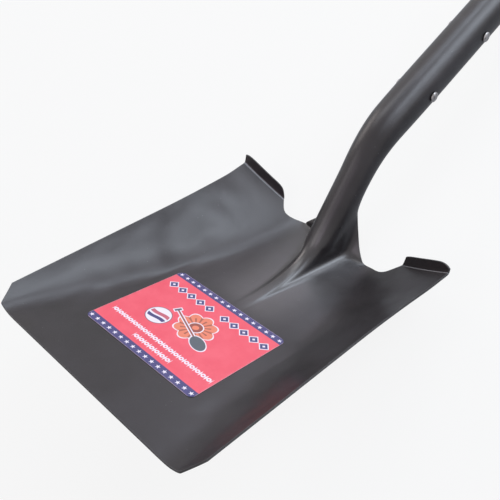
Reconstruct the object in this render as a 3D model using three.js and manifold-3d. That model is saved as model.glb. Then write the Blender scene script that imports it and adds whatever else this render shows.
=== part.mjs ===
// Square mouth shovel: a pressed steel head on a wooden shaft with a steel and wood D grip.
// Millimetres. The tool is drawn with the pan's floor level, the mouth at y = 0 and the shaft rising
// towards +Y, and is then laid down face up, as it rests on a floor. +X is to the right of the tool.

import * as THREE from 'three';
import { mergeVertices } from 'three/addons/utils/BufferGeometryUtils.js';
import Module from 'manifold-3d';

const wasm = await Module();
wasm.setup();

const { lerp, smoothstep, degToRad } = THREE.MathUtils;

// Driving dimensions of the head's sheet
const sheetThickness = 1.7;
const bladeWidth = 239.2;
const bladeLength = 298.5;

// Pan: a flat floor that rises towards the steps, with side walls that sweep up to the rims
const floorRiseLag = 3;
const floorRearRise = 23;
const floorHalfWidthFront = 98;
const floorHalfWidthRear = 42;
const rimHeightFront = 10.3;
const rimHeightRear = 59;
const shoulderLift = 2.4;
const shoulderLiftLength = 26;
const shoulderFlare = 5.6;
const shoulderFlareLength = 126;
const mouthCornerWidth = 8;
const mouthCornerLength = 15;
const wallRoundFrontShare = 1.2;
const wallRoundRearShare = 0.15;
const flarePower = 1.8;

// Steps: the flanges turned up at the shoulders
const stepInnerX = 73.5;
const stepSkewShare = 0.27;
const stepBendRadius = 2.2;
const stepHeight = 9.8;
const stepTurnAngle = degToRad(91);
const stepEndSlant = 2.5;

// Frog: the hollow ridge that swells out of the floor into the socket
const neckFootX = 39;
const neckFootSetback = 7.5;
const neckFootLeadLeft = 1;
const neckDepth = 35.9;
const frogTipHalfWidth = 9;
const frogLength = 131;
const frogToeReach = 72;
const frogNeckReach = 16;
const frogSpreadPower = 2.6;
const frogSteepeningPower = 3;
const crownShare = 0.64;
const footFlareShare = 0.6;
const crownDownShare = 0.45;
const legDropShare = 0.85;
const legFlareShare = 0.85;
const legTrimPower = 1.5;

// Socket: rolled from the same sheet, with its seam behind
const neckRadius = 15.6;
const socketRadius = 19.5;
const socketSteepAngle = degToRad(64.4);
const shaftLiftAngle = degToRad(35.6);
const socketSteepLength = 82.5;
const socketBendRadius = 108.4;
const socketUpperLength = 190;
const socketTaperLength = 95;
const socketTaperLead = 20;
const legTrimLength = 34;
const legTrimLagLeft = 9;
const legTrimShare = 0.46;
const socketClosingStart = 18;
const socketClosingLength = 50;
const seamGap = 1.2;
const socketRivetSpacing = 87;
const socketRivetSetback = 63;

// Shaft
const shaftRadius = 18.2;
const shaftShoulder = 1.2;
const shaftVisibleLength = 310;
const shaftNoseLength = 25;
const shaftNoseRadius = 12;
const shaftInSocketLength = 176;
const shaftTopRecess = 14;

// Yoke and cross grip
const yokeWall = 1.6;
const ferruleLength = 74;
const ferruleFlareLength = 10;
const armRadius = 9;
const armSpread = 56.5;
const armRootX = 7;
const armRootDepth = 16;
const armReach = 105;
const armShoulderReach = 34;
const eyeRadius = 14.5;
const eyeWidth = 17;
const gripRadius = 15.5;
const gripEndRadius = 12.8;
const gripPinRadius = 4.5;
const gripPinHeadRadius = 8;
const gripPinHeadHeight = 2.4;
const yokeSplitGap = 0.3;

// Rivets
const rivetRadius = 3.2;
const rivetHeadRadius = 6.2;
const rivetHeadHeight = 2.6;
const yokeRivetSpacing = 40;
const yokeRivetSetback = 17;
const armRivetReach = 62;

// Dome of a rivet's head, from its rim to its crown: place across, and height
const domeShares = [
  [1, 0.3],
  [0.86, 0.66],
  [0.5, 0.94],
  [0, 1],
];

// Label
const labelWidth = 127.6;
const labelLength = 109;
const labelThickness = 0.4;
const labelCornerRadius = 5;
const labelCentreX = -2.4;
const labelTipLap = 0.2;
const labelTurn = degToRad(1.6);

// Clearances and overruns
const fitGap = 0.3;
const cutOverrun = 5;

// Mesh fineness
const mouthRows = 7;
const frogRows = 13;
const crownColumns = 5;
const legColumns = 7;
const steepRows = 12;
const bendRows = 6;
const upperRows = 5;
const roundSides = 28;
const smallSides = 16;

// Columns of the sheet between the frog and the step: place across, and depth of the scallop there on
// the right and on the left, which is trimmed less
const scallopShares = [
  [0.2, 0.1, 0.12],
  [0.4, 0.46, 0.52],
  [0.56, 0.88, 0.8],
  [0.7, 1, 0.92],
  [0.8, 0.86, 0.8],
  [0.9, 0.42, 0.42],
];
const scallopDepth = 8;

// Columns of the sheet along the step: place across, and height of the step there on the right, whose
// outer end is rounded off, and on the left
const stepShares = [
  [0, 0.8, 0.35],
  [0.08, 1, 1],
  [0.25, 1, 1],
  [0.42, 0.98, 1],
  [0.6, 0.91, 1],
  [0.74, 0.74, 1],
  [0.84, 0.42, 0.98],
  [0.93, 0.12, 0.94],
  [1, 0, 0.72],
];

// Finishes
const blackSteel = new THREE.MeshStandardMaterial({ color: 0x3a393d, roughness: 0.38, metalness: 0.35 });
const zincSteel = new THREE.MeshStandardMaterial({ color: 0xb4b6b8, roughness: 0.35, metalness: 0.9 });
const ashWood = new THREE.MeshStandardMaterial({ color: 0xc79a62, roughness: 0.45, metalness: 0 });
const printedFilm = new THREE.MeshStandardMaterial({ color: 0xd8414f, roughness: 0.4, metalness: 0 });

// Pan surface, on its face side

/** Distance of the side rim from the middle, at the distance y from the mouth. */
function rimX(y) {
  const flareStart = bladeLength - shoulderFlareLength;
  const along = Math.max(0, y - flareStart) / shoulderFlareLength;
  return bladeWidth / 2 + shoulderFlare * along ** flarePower;
}

/** Height of the side rim over the floor's flat part. */
function rimZ(y) {
  const lift = smoothstep(y, bladeLength - 1.5 * shoulderLiftLength, bladeLength - 0.5 * shoulderLiftLength);
  return lerp(rimHeightFront, rimHeightRear, y / bladeLength) + shoulderLift * lift;
}

// Along the length: the frog's feet at the neck, its tip, and the end of the floor's flat part
const neckFootY = bladeLength - neckFootSetback;
const neckFootYLeft = bladeLength + neckFootLeadLeft;
const frogTipY = neckFootY - frogLength;
const floorFlatEnd = frogTipY + floorRiseLag;

/** Height of the floor along the middle of the pan. */
function floorZ(y) {
  const along = Math.max(0, y - floorFlatEnd) / (bladeLength - floorFlatEnd);
  return floorRearRise * along ** 2;
}

/** Height of the face of the pan: a floor, and a wall that leaves it smoothly and climbs to the rim. */
function panZ(x, y) {
  const wallStart = lerp(floorHalfWidthFront, floorHalfWidthRear, y / bladeLength);
  const across = Math.max(0, (Math.abs(x) - wallStart) / (rimX(y) - wallStart));
  const round = lerp(wallRoundFrontShare, wallRoundRearShare, smoothstep(y / bladeLength, 0.2, 0.97));
  const climb = (Math.hypot(across, round) - round) / (Math.hypot(1, round) - round);
  return floorZ(y) + (rimZ(y) - floorZ(y)) * climb;
}

/** Where the sheet starts at the mouth: square across, with its two corners cut off. */
function mouthY(x) {
  const past = Math.max(0, Math.abs(x) - (bladeWidth / 2 - mouthCornerWidth));
  return mouthCornerLength * past / mouthCornerWidth;
}

// Neck: where the frog's section becomes the socket's
const neckFootZ = panZ(neckFootX, neckFootY);
const neckCrestY = neckFootY - neckDepth * Math.sin(socketSteepAngle);
const neckCrestZ = neckFootZ + neckDepth * Math.cos(socketSteepAngle);

// Crest of the frog from its tip to the neck, in the plane of symmetry (y, z)
const crest = new THREE.CubicBezierCurve(
  new THREE.Vector2(frogTipY, panZ(0, frogTipY)),
  new THREE.Vector2(frogTipY + frogToeReach, panZ(0, frogTipY)),
  new THREE.Vector2(
    neckCrestY - frogNeckReach * Math.cos(socketSteepAngle),
    neckCrestZ - frogNeckReach * Math.sin(socketSteepAngle),
  ),
  new THREE.Vector2(neckCrestY, neckCrestZ),
);

// Socket's middle line in the plane of symmetry: steep, then a bend, then along the shaft
const bendAngle = socketSteepAngle - shaftLiftAngle;
const bendLength = socketBendRadius * bendAngle;
const socketLength = socketSteepLength + bendLength + socketUpperLength;
const axisStart = new THREE.Vector2(
  neckCrestY + neckRadius * Math.sin(socketSteepAngle),
  neckCrestZ - neckRadius * Math.cos(socketSteepAngle),
);

/** Point (y, z) and slope angle of the socket's middle line at a distance along it from the neck. */
function socketAxis(distance) {
  const steep = Math.min(distance, socketSteepLength);
  const turned = THREE.MathUtils.clamp((distance - socketSteepLength) / socketBendRadius, 0, bendAngle);
  const upper = Math.max(0, distance - socketSteepLength - bendLength);
  const angle = socketSteepAngle - turned;
  const y = axisStart.x + steep * Math.cos(socketSteepAngle) + upper * Math.cos(shaftLiftAngle)
    + socketBendRadius * (Math.sin(socketSteepAngle) - Math.sin(angle));
  const z = axisStart.y + steep * Math.sin(socketSteepAngle) + upper * Math.sin(shaftLiftAngle)
    + socketBendRadius * (Math.cos(angle) - Math.cos(socketSteepAngle));
  return { y, z, angle };
}

/** Outside radius of the socket, which widens through the bend. */
function socketOuterRadius(distance) {
  const taperStart = socketSteepLength - socketTaperLead;
  return lerp(neckRadius, socketRadius, smoothstep(distance, taperStart, taperStart + socketTaperLength));
}

/** One coordinate of a cubic curve with end values a, d and handle values b, c. */
function cubic(share, a, b, c, d) {
  const rest = 1 - share;
  return rest ** 3 * a + 3 * rest ** 2 * share * b + 3 * rest * share ** 2 * c + share ** 3 * d;
}

/** Open section near the frog's tip: a bell. Gives the distance across and the share of the way down. */
function bellSection(share, footX) {
  return [footX * cubic(share, 0, crownShare, 1 - footFlareShare, 1), cubic(share, 0, 0, 1, 1)];
}

/** Round section, turned about its middle by an angle from its crest. */
function roundSection(turn, radius) {
  return [radius * Math.sin(turn), radius * (1 - Math.cos(turn))];
}

/** Closed section of the socket: round, with its seam behind. */
function tubeSection(share, radius) {
  const seamAngle = seamGap / (2 * radius);
  return roundSection(Math.PI * share - seamAngle * Math.max(0, 2 * share - 1), radius);
}

/** Open section at the neck: a round crown, legs that drop from it and a fillet out to each foot. */
function legSection(share, radius, footX, depth, trimShare) {
  if (share <= 0.5) return roundSection(Math.PI * share, radius);
  const along = (2 * share - 1) * trimShare;
  const flareX = lerp(footX, radius, legFlareShare);
  const drop = lerp(radius, depth, legDropShare);
  return [cubic(along, radius, radius, flareX, footX), cubic(along, radius, drop, depth, depth)];
}

/** Point on the frog, between its crest and its foot on the pan. */
function frogPoint(share, frogShare, foot, top) {
  const depth = Math.hypot(foot.y - top.x, foot.z - top.y);
  const radiusShare = Math.min(neckRadius / depth, crownDownShare);
  const [bellX, bellDown] = bellSection(share, foot.x);
  const [legX, legDown] = legSection(share, radiusShare * depth, foot.x, depth, 1);
  const steep = frogShare ** frogSteepeningPower;
  const down = steep > 0 ? lerp(bellDown, legDown / depth, steep) : bellDown;
  return new THREE.Vector3(lerp(bellX, legX, steep), lerp(top.x, foot.y, down), lerp(top.y, foot.z, down));
}

/** Point on the socket: the neck's open section closes into a round tube with its seam behind. */
function socketPoint(share, distance, isLeft) {
  const { y, z, angle } = socketAxis(distance);
  const radius = socketOuterRadius(distance);
  const trimStart = isLeft ? legTrimLagLeft : 0;
  const trimAlong = Math.max(0, distance - trimStart) / (legTrimLength - trimStart);
  const trimmed = 1 - Math.max(0, 1 - trimAlong) ** legTrimPower;
  const trimShare = 1 - legTrimShare * trimmed;
  const [openX, openDown] = legSection(share, radius, neckFootX, neckDepth, trimShare);
  const [roundX, roundDown] = tubeSection(share, radius);
  const closed = smoothstep(distance, socketClosingStart, socketClosingStart + socketClosingLength);
  const out = radius - lerp(openDown, roundDown, closed);
  return new THREE.Vector3(lerp(openX, roundX, closed), y - out * Math.sin(angle), z + out * Math.cos(angle));
}

/** Point on a step: the sheet bends up at the fold and stands above it, slanted off at its inner end. */
function stepPoint(foldPoint, row, across, heightShare) {
  const climb = panZ(foldPoint.x, foldPoint.y) - panZ(foldPoint.x, foldPoint.y - stepBendRadius);
  const pitch = Math.atan2(climb, stepBendRadius);
  const angle = lerp(pitch, stepTurnAngle, Math.min(1, row / 2));
  const rise = row > 2 ? stepHeight * heightShare : 0;
  return new THREE.Vector3(
    foldPoint.x + stepEndSlant * (1 - across) ** 2 * row / stepRows,
    foldPoint.y + stepBendRadius * (Math.sin(angle) - Math.sin(pitch)) + rise * Math.cos(stepTurnAngle),
    foldPoint.z + stepBendRadius * (Math.cos(pitch) - Math.cos(angle)) + rise * Math.sin(stepTurnAngle),
  );
}

// Head: a grid of rows from the mouth on and columns from left to right, some of which end early
const panRows = mouthRows + frogRows;
const socketRows = steepRows + bendRows + upperRows;
const stepRows = 3;
const frogColumns = crownColumns + legColumns;
const halfColumns = frogColumns + scallopShares.length + stepShares.length;

/** Distance of a socket row from the neck. */
function socketRowDistance(row) {
  if (row <= steepRows) return socketSteepLength * row / steepRows;
  const beyond = row - steepRows;
  if (beyond <= bendRows) return socketSteepLength + bendLength * beyond / bendRows;
  return socketSteepLength + bendLength + socketUpperLength * (beyond - bendRows) / upperRows;
}

/** Point of the face in a column out from the middle, or null where the sheet has ended, drawn to +X. */
function halfPoint(column, row, isLeft) {
  const panRow = Math.min(row, panRows);
  const frogShare = Math.max(0, panRow - mouthRows) / frogRows;
  const lastFootY = isLeft ? neckFootYLeft : neckFootY;
  const footY = panRow < mouthRows ? frogTipY * panRow / mouthRows : lerp(frogTipY, lastFootY, frogShare);
  const footX = lerp(frogTipHalfWidth, neckFootX, frogShare ** frogSpreadPower);
  if (column <= frogColumns) {
    const legShare = Math.max(0, column - crownColumns) / legColumns;
    const across = (Math.min(1, column / crownColumns) + legShare) / 2;
    if (row > panRows) return socketPoint(across, socketRowDistance(row - panRows), isLeft);
    const foot = new THREE.Vector3(footX, footY, panZ(footX, footY));
    const top = frogShare > 0 ? crest.getPoint(frogShare) : new THREE.Vector2(footY, panZ(0, footY));
    return frogPoint(across, frogShare, foot, top);
  }
  const rowShare = footY / lastFootY;
  const scallopColumn = column - frogColumns - 1;
  if (scallopColumn < scallopShares.length) {
    if (row > panRows) return null;
    const [across, rightDepth, leftDepth] = scallopShares[scallopColumn];
    const depthShare = isLeft ? leftDepth : rightDepth;
    const x = lerp(footX, stepInnerX, across);
    const y = rowShare * (lerp(lastFootY, bladeLength, across) - scallopDepth * depthShare);
    return new THREE.Vector3(x, y, panZ(x, y));
  }
  if (row > panRows + stepRows) return null;
  const [across, rightHeight, leftHeight] = stepShares[scallopColumn - scallopShares.length];
  const heightShare = isLeft ? leftHeight : rightHeight;
  const frontX = lerp(stepInnerX, bladeWidth / 2, across);
  const foldX = lerp(stepInnerX, rimX(bladeLength), across);
  const foldY = bladeLength - stepSkewShare * (foldX - stepInnerX);
  const y = lerp(mouthY(frontX), foldY, rowShare);
  const x = lerp(stepInnerX, rimX(y), across);
  const point = new THREE.Vector3(x, y, panZ(x, y));
  return row > panRows ? stepPoint(point, row - panRows, across, heightShare) : point;
}

/** Turns a face given as a grid of points into a closed sheet of the given thickness behind it. */
function sheetFromGrid(pointAt, columns, rows, thickness) {
  const ids = new Map();
  const face = [];
  for (let row = 0; row < rows; row += 1) {
    for (let column = 0; column < columns; column += 1) {
      const point = pointAt(column, row);
      if (point === null) continue;
      ids.set(row * columns + column, face.length);
      face.push(point);
    }
  }
  const triangles = [];
  for (let row = 0; row + 1 < rows; row += 1) {
    for (let column = 0; column + 1 < columns; column += 1) {
      const corners = [[column, row], [column + 1, row], [column + 1, row + 1], [column, row + 1]];
      const quad = corners.map(([c, r]) => ids.get(r * columns + c));
      if (quad.includes(undefined)) continue;
      const first = face[quad[0]].distanceTo(face[quad[2]]);
      const second = face[quad[1]].distanceTo(face[quad[3]]);
      if (first <= second) triangles.push([quad[0], quad[1], quad[2]], [quad[0], quad[2], quad[3]]);
      else triangles.push([quad[0], quad[1], quad[3]], [quad[1], quad[2], quad[3]]);
    }
  }
  const facets = triangles.map(([a, b, c]) => {
    const facet = new THREE.Triangle(face[a], face[b], face[c]);
    return facet.getNormal(new THREE.Vector3());
  });
  const normals = face.map(() => new THREE.Vector3());
  triangles.forEach((triangle, index) => {
    triangle.forEach((id, corner) => {
      const before = face[triangle[(corner + 2) % 3]].clone().sub(face[id]);
      const after = face[triangle[(corner + 1) % 3]].clone().sub(face[id]);
      normals[id].addScaledVector(facets[index], before.angleTo(after));
    });
  });
  normals.forEach((normal) => normal.normalize());
  // A sharp turn of the sheet is mitred so that it keeps its thickness
  const mitres = face.map(() => 1);
  triangles.forEach((triangle, index) => {
    triangle.forEach((id) => {
      mitres[id] = Math.min(mitres[id], Math.max(0.75, facets[index].dot(normals[id])));
    });
  });
  const back = face.map((point, id) => point.clone().addScaledVector(normals[id], -thickness / mitres[id]));
  const count = face.length;
  const indices = [];
  const edges = new Map();
  for (const [a, b, c] of triangles) {
    indices.push(a, b, c, a + count, c + count, b + count);
    for (const [from, to] of [[a, b], [b, c], [c, a]]) {
      if (!edges.delete(to * count + from)) edges.set(from * count + to, [from, to]);
    }
  }
  for (const [from, to] of edges.values()) {
    indices.push(from, from + count, to, to, from + count, to + count);
  }
  const geometry = new THREE.BufferGeometry();
  const positions = [...face, ...back].flatMap((point) => point.toArray());
  geometry.setAttribute('position', new THREE.Float32BufferAttribute(positions, 3));
  geometry.setIndex(indices);
  return geometry;
}

// Solids: joining and cutting

/** A closed geometry as a solid that can be joined and cut. */
function solid(geometry) {
  const bare = geometry.clone();
  bare.deleteAttribute('normal');
  bare.deleteAttribute('uv');
  const merged = mergeVertices(bare);
  return new wasm.Manifold(new wasm.Mesh({
    numProp: 3,
    vertProperties: new Float32Array(merged.attributes.position.array),
    triVerts: new Uint32Array(merged.index.array),
  }));
}

/** A solid as a geometry again. */
function geometryOf(body) {
  const mesh = body.getMesh();
  const geometry = new THREE.BufferGeometry();
  geometry.setAttribute('position', new THREE.BufferAttribute(new Float32Array(mesh.vertProperties), 3));
  geometry.setIndex(new THREE.BufferAttribute(new Uint32Array(mesh.triVerts), 1));
  return geometry;
}

/** A round bar along an axis letter, centred on a point. */
function bar(radius, length, axis, centre, sides = smallSides) {
  const geometry = new THREE.CylinderGeometry(radius, radius, length, sides);
  if (axis === 'x') geometry.rotateZ(-Math.PI / 2);
  if (axis === 'z') geometry.rotateX(Math.PI / 2);
  return geometry.translate(centre.x, centre.y, centre.z);
}

/** A turned piece about the Y axis from pairs of radius and height, which start and end on the axis. */
function turned(profile, sides) {
  return new THREE.LatheGeometry(profile.map(([radius, height]) => new THREE.Vector2(radius, height)), sides);
}

/** A through rivet along Y, centred, with a domed head on each end of the grip length. */
function rivetGeometry(gripLength, shankRadius, headRadius, headHeight) {
  const seat = gripLength / 2 + fitGap;
  const dome = domeShares.map(([across, up]) => [headRadius * across, seat + headHeight * up]);
  const upper = [[shankRadius, seat], [headRadius, seat], ...dome];
  const lower = upper.map(([radius, height]) => [radius, -height]).reverse();
  return turned([...lower, ...upper], smallSides);
}

/** A named mesh. */
function piece(name, geometry, material) {
  const mesh = new THREE.Mesh(geometry, material);
  mesh.name = name;
  return mesh;
}

// Frame of the shaft: +Y along the shaft from the socket's mouth, +X across, +Z towards the face side
const socketEnd = socketAxis(socketLength);
const shaftFrame = new THREE.Matrix4().makeRotationX(shaftLiftAngle).setPosition(0, socketEnd.y, socketEnd.z);

// Blade pressing
const headGrid = sheetFromGrid(
  (column, row) => {
    const isLeft = column < halfColumns;
    const point = halfPoint(Math.abs(column - halfColumns), row, isLeft);
    if (point !== null && isLeft) point.x = -point.x;
    return point;
  },
  2 * halfColumns + 1,
  panRows + socketRows + 1,
  sheetThickness,
);
const upperRivetY = -socketRivetSetback;
const lowerRivetY = upperRivetY - socketRivetSpacing;
let head = solid(headGrid);
const crossHoles = [lowerRivetY, upperRivetY].map((y) => bar(
  rivetRadius + fitGap, 2 * (socketRadius + cutOverrun), 'x', new THREE.Vector3(0, y, 0),
));
for (const hole of crossHoles) head = head.subtract(solid(hole.clone().applyMatrix4(shaftFrame)));
const bladePressing = piece('blade_pressing', geometryOf(head), blackSteel);

// Label, on the flat floor, with its rear edge at the frog's tip
const labelOutline = new THREE.Shape();
const labelX = labelWidth / 2;
const labelY = labelLength / 2;
const cornerX = labelX - labelCornerRadius;
const cornerY = labelY - labelCornerRadius;
labelOutline.moveTo(-cornerX, -labelY);
labelOutline.lineTo(cornerX, -labelY);
labelOutline.absarc(cornerX, -cornerY, labelCornerRadius, -Math.PI / 2, 0);
labelOutline.absarc(cornerX, cornerY, labelCornerRadius, 0, Math.PI / 2);
labelOutline.absarc(-cornerX, cornerY, labelCornerRadius, Math.PI / 2, Math.PI);
labelOutline.absarc(-cornerX, -cornerY, labelCornerRadius, Math.PI, 1.5 * Math.PI);
const label = piece(
  'label',
  new THREE.ExtrudeGeometry(labelOutline, { depth: labelThickness, bevelEnabled: false, curveSegments: 4 }),
  printedFilm,
);
label.position.set(labelCentreX, frogTipY + labelTipLap - labelY, fitGap);
label.rotation.z = labelTurn;

// Shaft: a nose and a turned-down length in the socket, a shoulder at its mouth, then full size
const woodInSocket = (socketRadius - sheetThickness) * Math.cos(Math.PI / (2 * crownColumns)) - fitGap;
const shaftTop = shaftVisibleLength + ferruleLength - shaftTopRecess;
let shaftBody = solid(turned([
  [0, -shaftInSocketLength],
  [shaftNoseRadius, -shaftInSocketLength],
  [woodInSocket, -shaftInSocketLength + shaftNoseLength],
  [woodInSocket, fitGap],
  [shaftRadius - shaftShoulder / 2, fitGap],
  [shaftRadius, fitGap + shaftShoulder],
  [shaftRadius, shaftTop - shaftShoulder],
  [shaftRadius - shaftShoulder, shaftTop],
  [0, shaftTop],
], roundSides));
for (const hole of crossHoles) shaftBody = shaftBody.subtract(solid(hole));

// Yoke: a hollow D top of ferrule, two arms and two eyes, pressed in two halves
const ferruleStart = shaftVisibleLength;
const ferruleEnd = shaftVisibleLength + ferruleLength;
const gripY = ferruleEnd + armReach;
const ferruleInner = shaftRadius + fitGap;
const ferruleOuter = ferruleInner + yokeWall;

/** Middle line of an arm, from inside the ferrule's top out to the side and on to the eye. */
function armCurve(side) {
  const path = new THREE.CurvePath();
  const rootPoint = new THREE.Vector3(side * armRootX, ferruleEnd - armRootDepth, 0);
  const shoulderPoint = new THREE.Vector3(side * armSpread, ferruleEnd + armShoulderReach + armSpread / 2, 0);
  path.add(new THREE.CubicBezierCurve3(
    rootPoint,
    new THREE.Vector3(side * armRootX, ferruleEnd + armShoulderReach, 0),
    new THREE.Vector3(side * armSpread, ferruleEnd, 0),
    shoulderPoint,
  ));
  path.add(new THREE.LineCurve3(shoulderPoint, new THREE.Vector3(side * armSpread, gripY, 0)));
  return path;
}

/** A round bar swept along an arm. */
function armSweep(side, radius) {
  const section = new THREE.Shape();
  section.absarc(0, 0, radius, 0, 2 * Math.PI);
  return new THREE.ExtrudeGeometry(section, { steps: 16, curveSegments: 7, extrudePath: armCurve(side) });
}

/** The whole D top as one solid, drawn smaller by an inset so that the inner one hollows the outer. */
function yokeForm(inset) {
  const ferruleTop = ferruleEnd - inset;
  const drop = inset > 0 ? cutOverrun : 0;
  let form = solid(turned([
    [0, ferruleStart - drop],
    [ferruleOuter - inset, ferruleStart - drop],
    [ferruleOuter - inset, ferruleTop - ferruleFlareLength],
    [armRootX + armRadius - inset, ferruleTop],
    [0, ferruleTop],
  ], roundSides));
  for (const side of [-1, 1]) {
    form = form.add(solid(armSweep(side, armRadius - inset)));
    const eyeCentre = new THREE.Vector3(side * armSpread, gripY, 0);
    form = form.add(solid(bar(eyeRadius - inset, eyeWidth - 2 * inset, 'x', eyeCentre)));
  }
  return form;
}

const gripHalfLength = armSpread - eyeWidth / 2 - fitGap;
const pinLength = 2 * armSpread + eyeWidth;
const armRivetX = armSpread;
const armRivetY = ferruleEnd + armRivetReach;
const yokeRivetYs = [ferruleStart + yokeRivetSetback, ferruleStart + yokeRivetSetback + yokeRivetSpacing];
const yokeHoles = [
  bar(gripPinRadius + fitGap, pinLength + 2 * cutOverrun, 'x', new THREE.Vector3(0, gripY, 0)),
  ...yokeRivetYs.map((y) => bar(
    rivetRadius + fitGap, 2 * (ferruleOuter + cutOverrun), 'z', new THREE.Vector3(0, y, 0),
  )),
  ...[-1, 1].map((side) => bar(
    rivetRadius + fitGap, 2 * (armRadius + cutOverrun), 'z', new THREE.Vector3(side * armRivetX, armRivetY, 0),
  )),
];
for (const hole of yokeHoles.slice(1, 3)) shaftBody = shaftBody.subtract(solid(hole));
const shaft = piece('shaft', geometryOf(shaftBody), ashWood);

let yokeShell = yokeForm(0).subtract(yokeForm(yokeWall));
for (const hole of yokeHoles) yokeShell = yokeShell.subtract(solid(hole));
const halfBoxSize = new THREE.Vector3(2 * pinLength, 2 * (gripY + cutOverrun), 2 * ferruleOuter);
const yokeHalves = [['yoke_front', 1], ['yoke_back', -1]].map(([name, side]) => {
  const box = new THREE.BoxGeometry(halfBoxSize.x, halfBoxSize.y, halfBoxSize.z);
  box.translate(0, 0, side * (halfBoxSize.z / 2 + yokeSplitGap / 2));
  return piece(name, geometryOf(yokeShell.intersect(solid(box))), blackSteel);
});

// Cross grip: a turned barrel with a bore for its pin
const gripProfile = [0, 0.12, 0.3, 0.5, 0.7, 0.88, 1].map((share) => {
  const along = 2 * share - 1;
  return [lerp(gripRadius, gripEndRadius, along ** 2), along * gripHalfLength];
});
const gripSolid = solid(turned([[0, -gripHalfLength], ...gripProfile, [0, gripHalfLength]], roundSides));
const gripBore = bar(gripPinRadius + fitGap, 2 * (gripHalfLength + cutOverrun), 'y', new THREE.Vector3());
const crossGrip = piece('cross_grip', geometryOf(gripSolid.subtract(solid(gripBore))), ashWood);
crossGrip.position.set(0, gripY, 0);
crossGrip.rotation.z = -Math.PI / 2;

const gripPin = piece(
  'grip_pin',
  rivetGeometry(pinLength, gripPinRadius, gripPinHeadRadius, gripPinHeadHeight),
  zincSteel,
);
gripPin.position.set(0, gripY, 0);
gripPin.rotation.z = -Math.PI / 2;

// Rivets: across the socket, and through the yoke from front to back
const socketRivet = rivetGeometry(2 * socketRadius, rivetRadius, rivetHeadRadius, rivetHeadHeight);
const socketRivets = [
  ['socket_rivet_lower', lowerRivetY],
  ['socket_rivet_upper', upperRivetY],
].map(([name, y]) => {
  const rivet = piece(name, socketRivet, zincSteel);
  rivet.position.set(0, y, 0);
  rivet.rotation.z = -Math.PI / 2;
  return rivet;
});
const ferruleRivet = rivetGeometry(2 * ferruleOuter, rivetRadius, rivetHeadRadius, rivetHeadHeight);
const armRivet = rivetGeometry(2 * armRadius, rivetRadius, rivetHeadRadius, rivetHeadHeight);
const yokeRivets = [
  ['yoke_rivet_lower', ferruleRivet, 0, yokeRivetYs[0]],
  ['yoke_rivet_upper', ferruleRivet, 0, yokeRivetYs[1]],
  ['arm_rivet_left', armRivet, -armRivetX, armRivetY],
  ['arm_rivet_right', armRivet, armRivetX, armRivetY],
].map(([name, geometry, x, y]) => {
  const rivet = piece(name, geometry, zincSteel);
  rivet.position.set(x, y, 0);
  rivet.rotation.x = Math.PI / 2;
  return rivet;
});

// Assembly: what follows the shaft, then the whole tool
const handle = new THREE.Group();
handle.position.set(0, socketEnd.y, socketEnd.z);
handle.rotation.x = shaftLiftAngle;
handle.add(shaft, ...yokeHalves, crossGrip, gripPin, ...socketRivets, ...yokeRivets);
const tool = new THREE.Group();
tool.add(bladePressing, label, handle);

/** Lowest point of an object with the tool pitched by an angle about the X axis. */
function lowestWhenPitched(object, pitch) {
  tool.rotation.x = pitch;
  tool.updateMatrixWorld(true);
  return new THREE.Box3().setFromObject(object, true).min.z;
}

// Lying face up, the tool rests on the back of the blade and on its grip end
let pitchLow = -Math.PI / 3;
let pitchHigh = 0;
for (let step = 0; step < 40; step += 1) {
  const middle = (pitchLow + pitchHigh) / 2;
  if (lowestWhenPitched(bladePressing, middle) < lowestWhenPitched(handle, middle)) pitchHigh = middle;
  else pitchLow = middle;
}
tool.rotation.x = (pitchLow + pitchHigh) / 2;
tool.updateMatrixWorld(true);
const bounds = new THREE.Box3().setFromObject(tool, true);
tool.position.set(0, -(bounds.min.y + bounds.max.y) / 2, -bounds.min.z);

const shovel = new THREE.Group();
shovel.add(tool);
shovel.updateMatrixWorld(true);

export default shovel;
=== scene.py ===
"""Square mouth shovel: a pressed black steel head on an ash shaft with a steel and wood D top.

Metres. The head is worked out in the tool's own frame, in which the pan's floor is level, the mouth
is at y = 0 and +X is to the right, and is then turned to lie face up, as the tool rests on a floor.
"""

import logging
import math
from dataclasses import dataclass, field
from enum import Enum
from typing import Mapping, Optional, Sequence, Union

import bmesh
import bpy
from mathutils import Matrix, Vector, noise
from mathutils.kdtree import KDTree


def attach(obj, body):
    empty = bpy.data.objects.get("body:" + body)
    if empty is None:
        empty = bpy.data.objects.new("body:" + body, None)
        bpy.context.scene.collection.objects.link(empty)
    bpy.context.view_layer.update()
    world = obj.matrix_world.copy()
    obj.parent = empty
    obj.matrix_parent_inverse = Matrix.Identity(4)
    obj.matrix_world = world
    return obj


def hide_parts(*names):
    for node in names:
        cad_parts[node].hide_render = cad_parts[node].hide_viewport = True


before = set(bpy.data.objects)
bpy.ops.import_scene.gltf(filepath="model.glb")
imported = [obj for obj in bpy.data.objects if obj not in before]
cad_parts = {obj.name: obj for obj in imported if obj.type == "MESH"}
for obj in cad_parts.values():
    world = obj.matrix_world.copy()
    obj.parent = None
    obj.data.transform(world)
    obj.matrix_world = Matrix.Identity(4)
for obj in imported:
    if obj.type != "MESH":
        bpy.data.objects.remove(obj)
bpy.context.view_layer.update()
log = logging.getLogger("shovel")

Point = tuple[float, float, float]
Colour = tuple[float, float, float]


# Plain sums


def lerp(start: float, end: float, share: float) -> float:
    """Return the value a share of the way from start to end."""
    return start + (end - start) * share


def smoothstep(value: float, low: float, high: float) -> float:
    """Return 0 below low, 1 above high and a smooth climb between them."""
    share = min(1.0, max(0.0, (value - low) / (high - low)))
    return share * share * (3 - 2 * share)


def plateau(value: float, climb: tuple[float, float], fall: tuple[float, float]) -> float:
    """Return 1 between a smooth climb and a smooth fall, and 0 outside both."""
    return smoothstep(value, *climb) * (1 - smoothstep(value, *fall))


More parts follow.
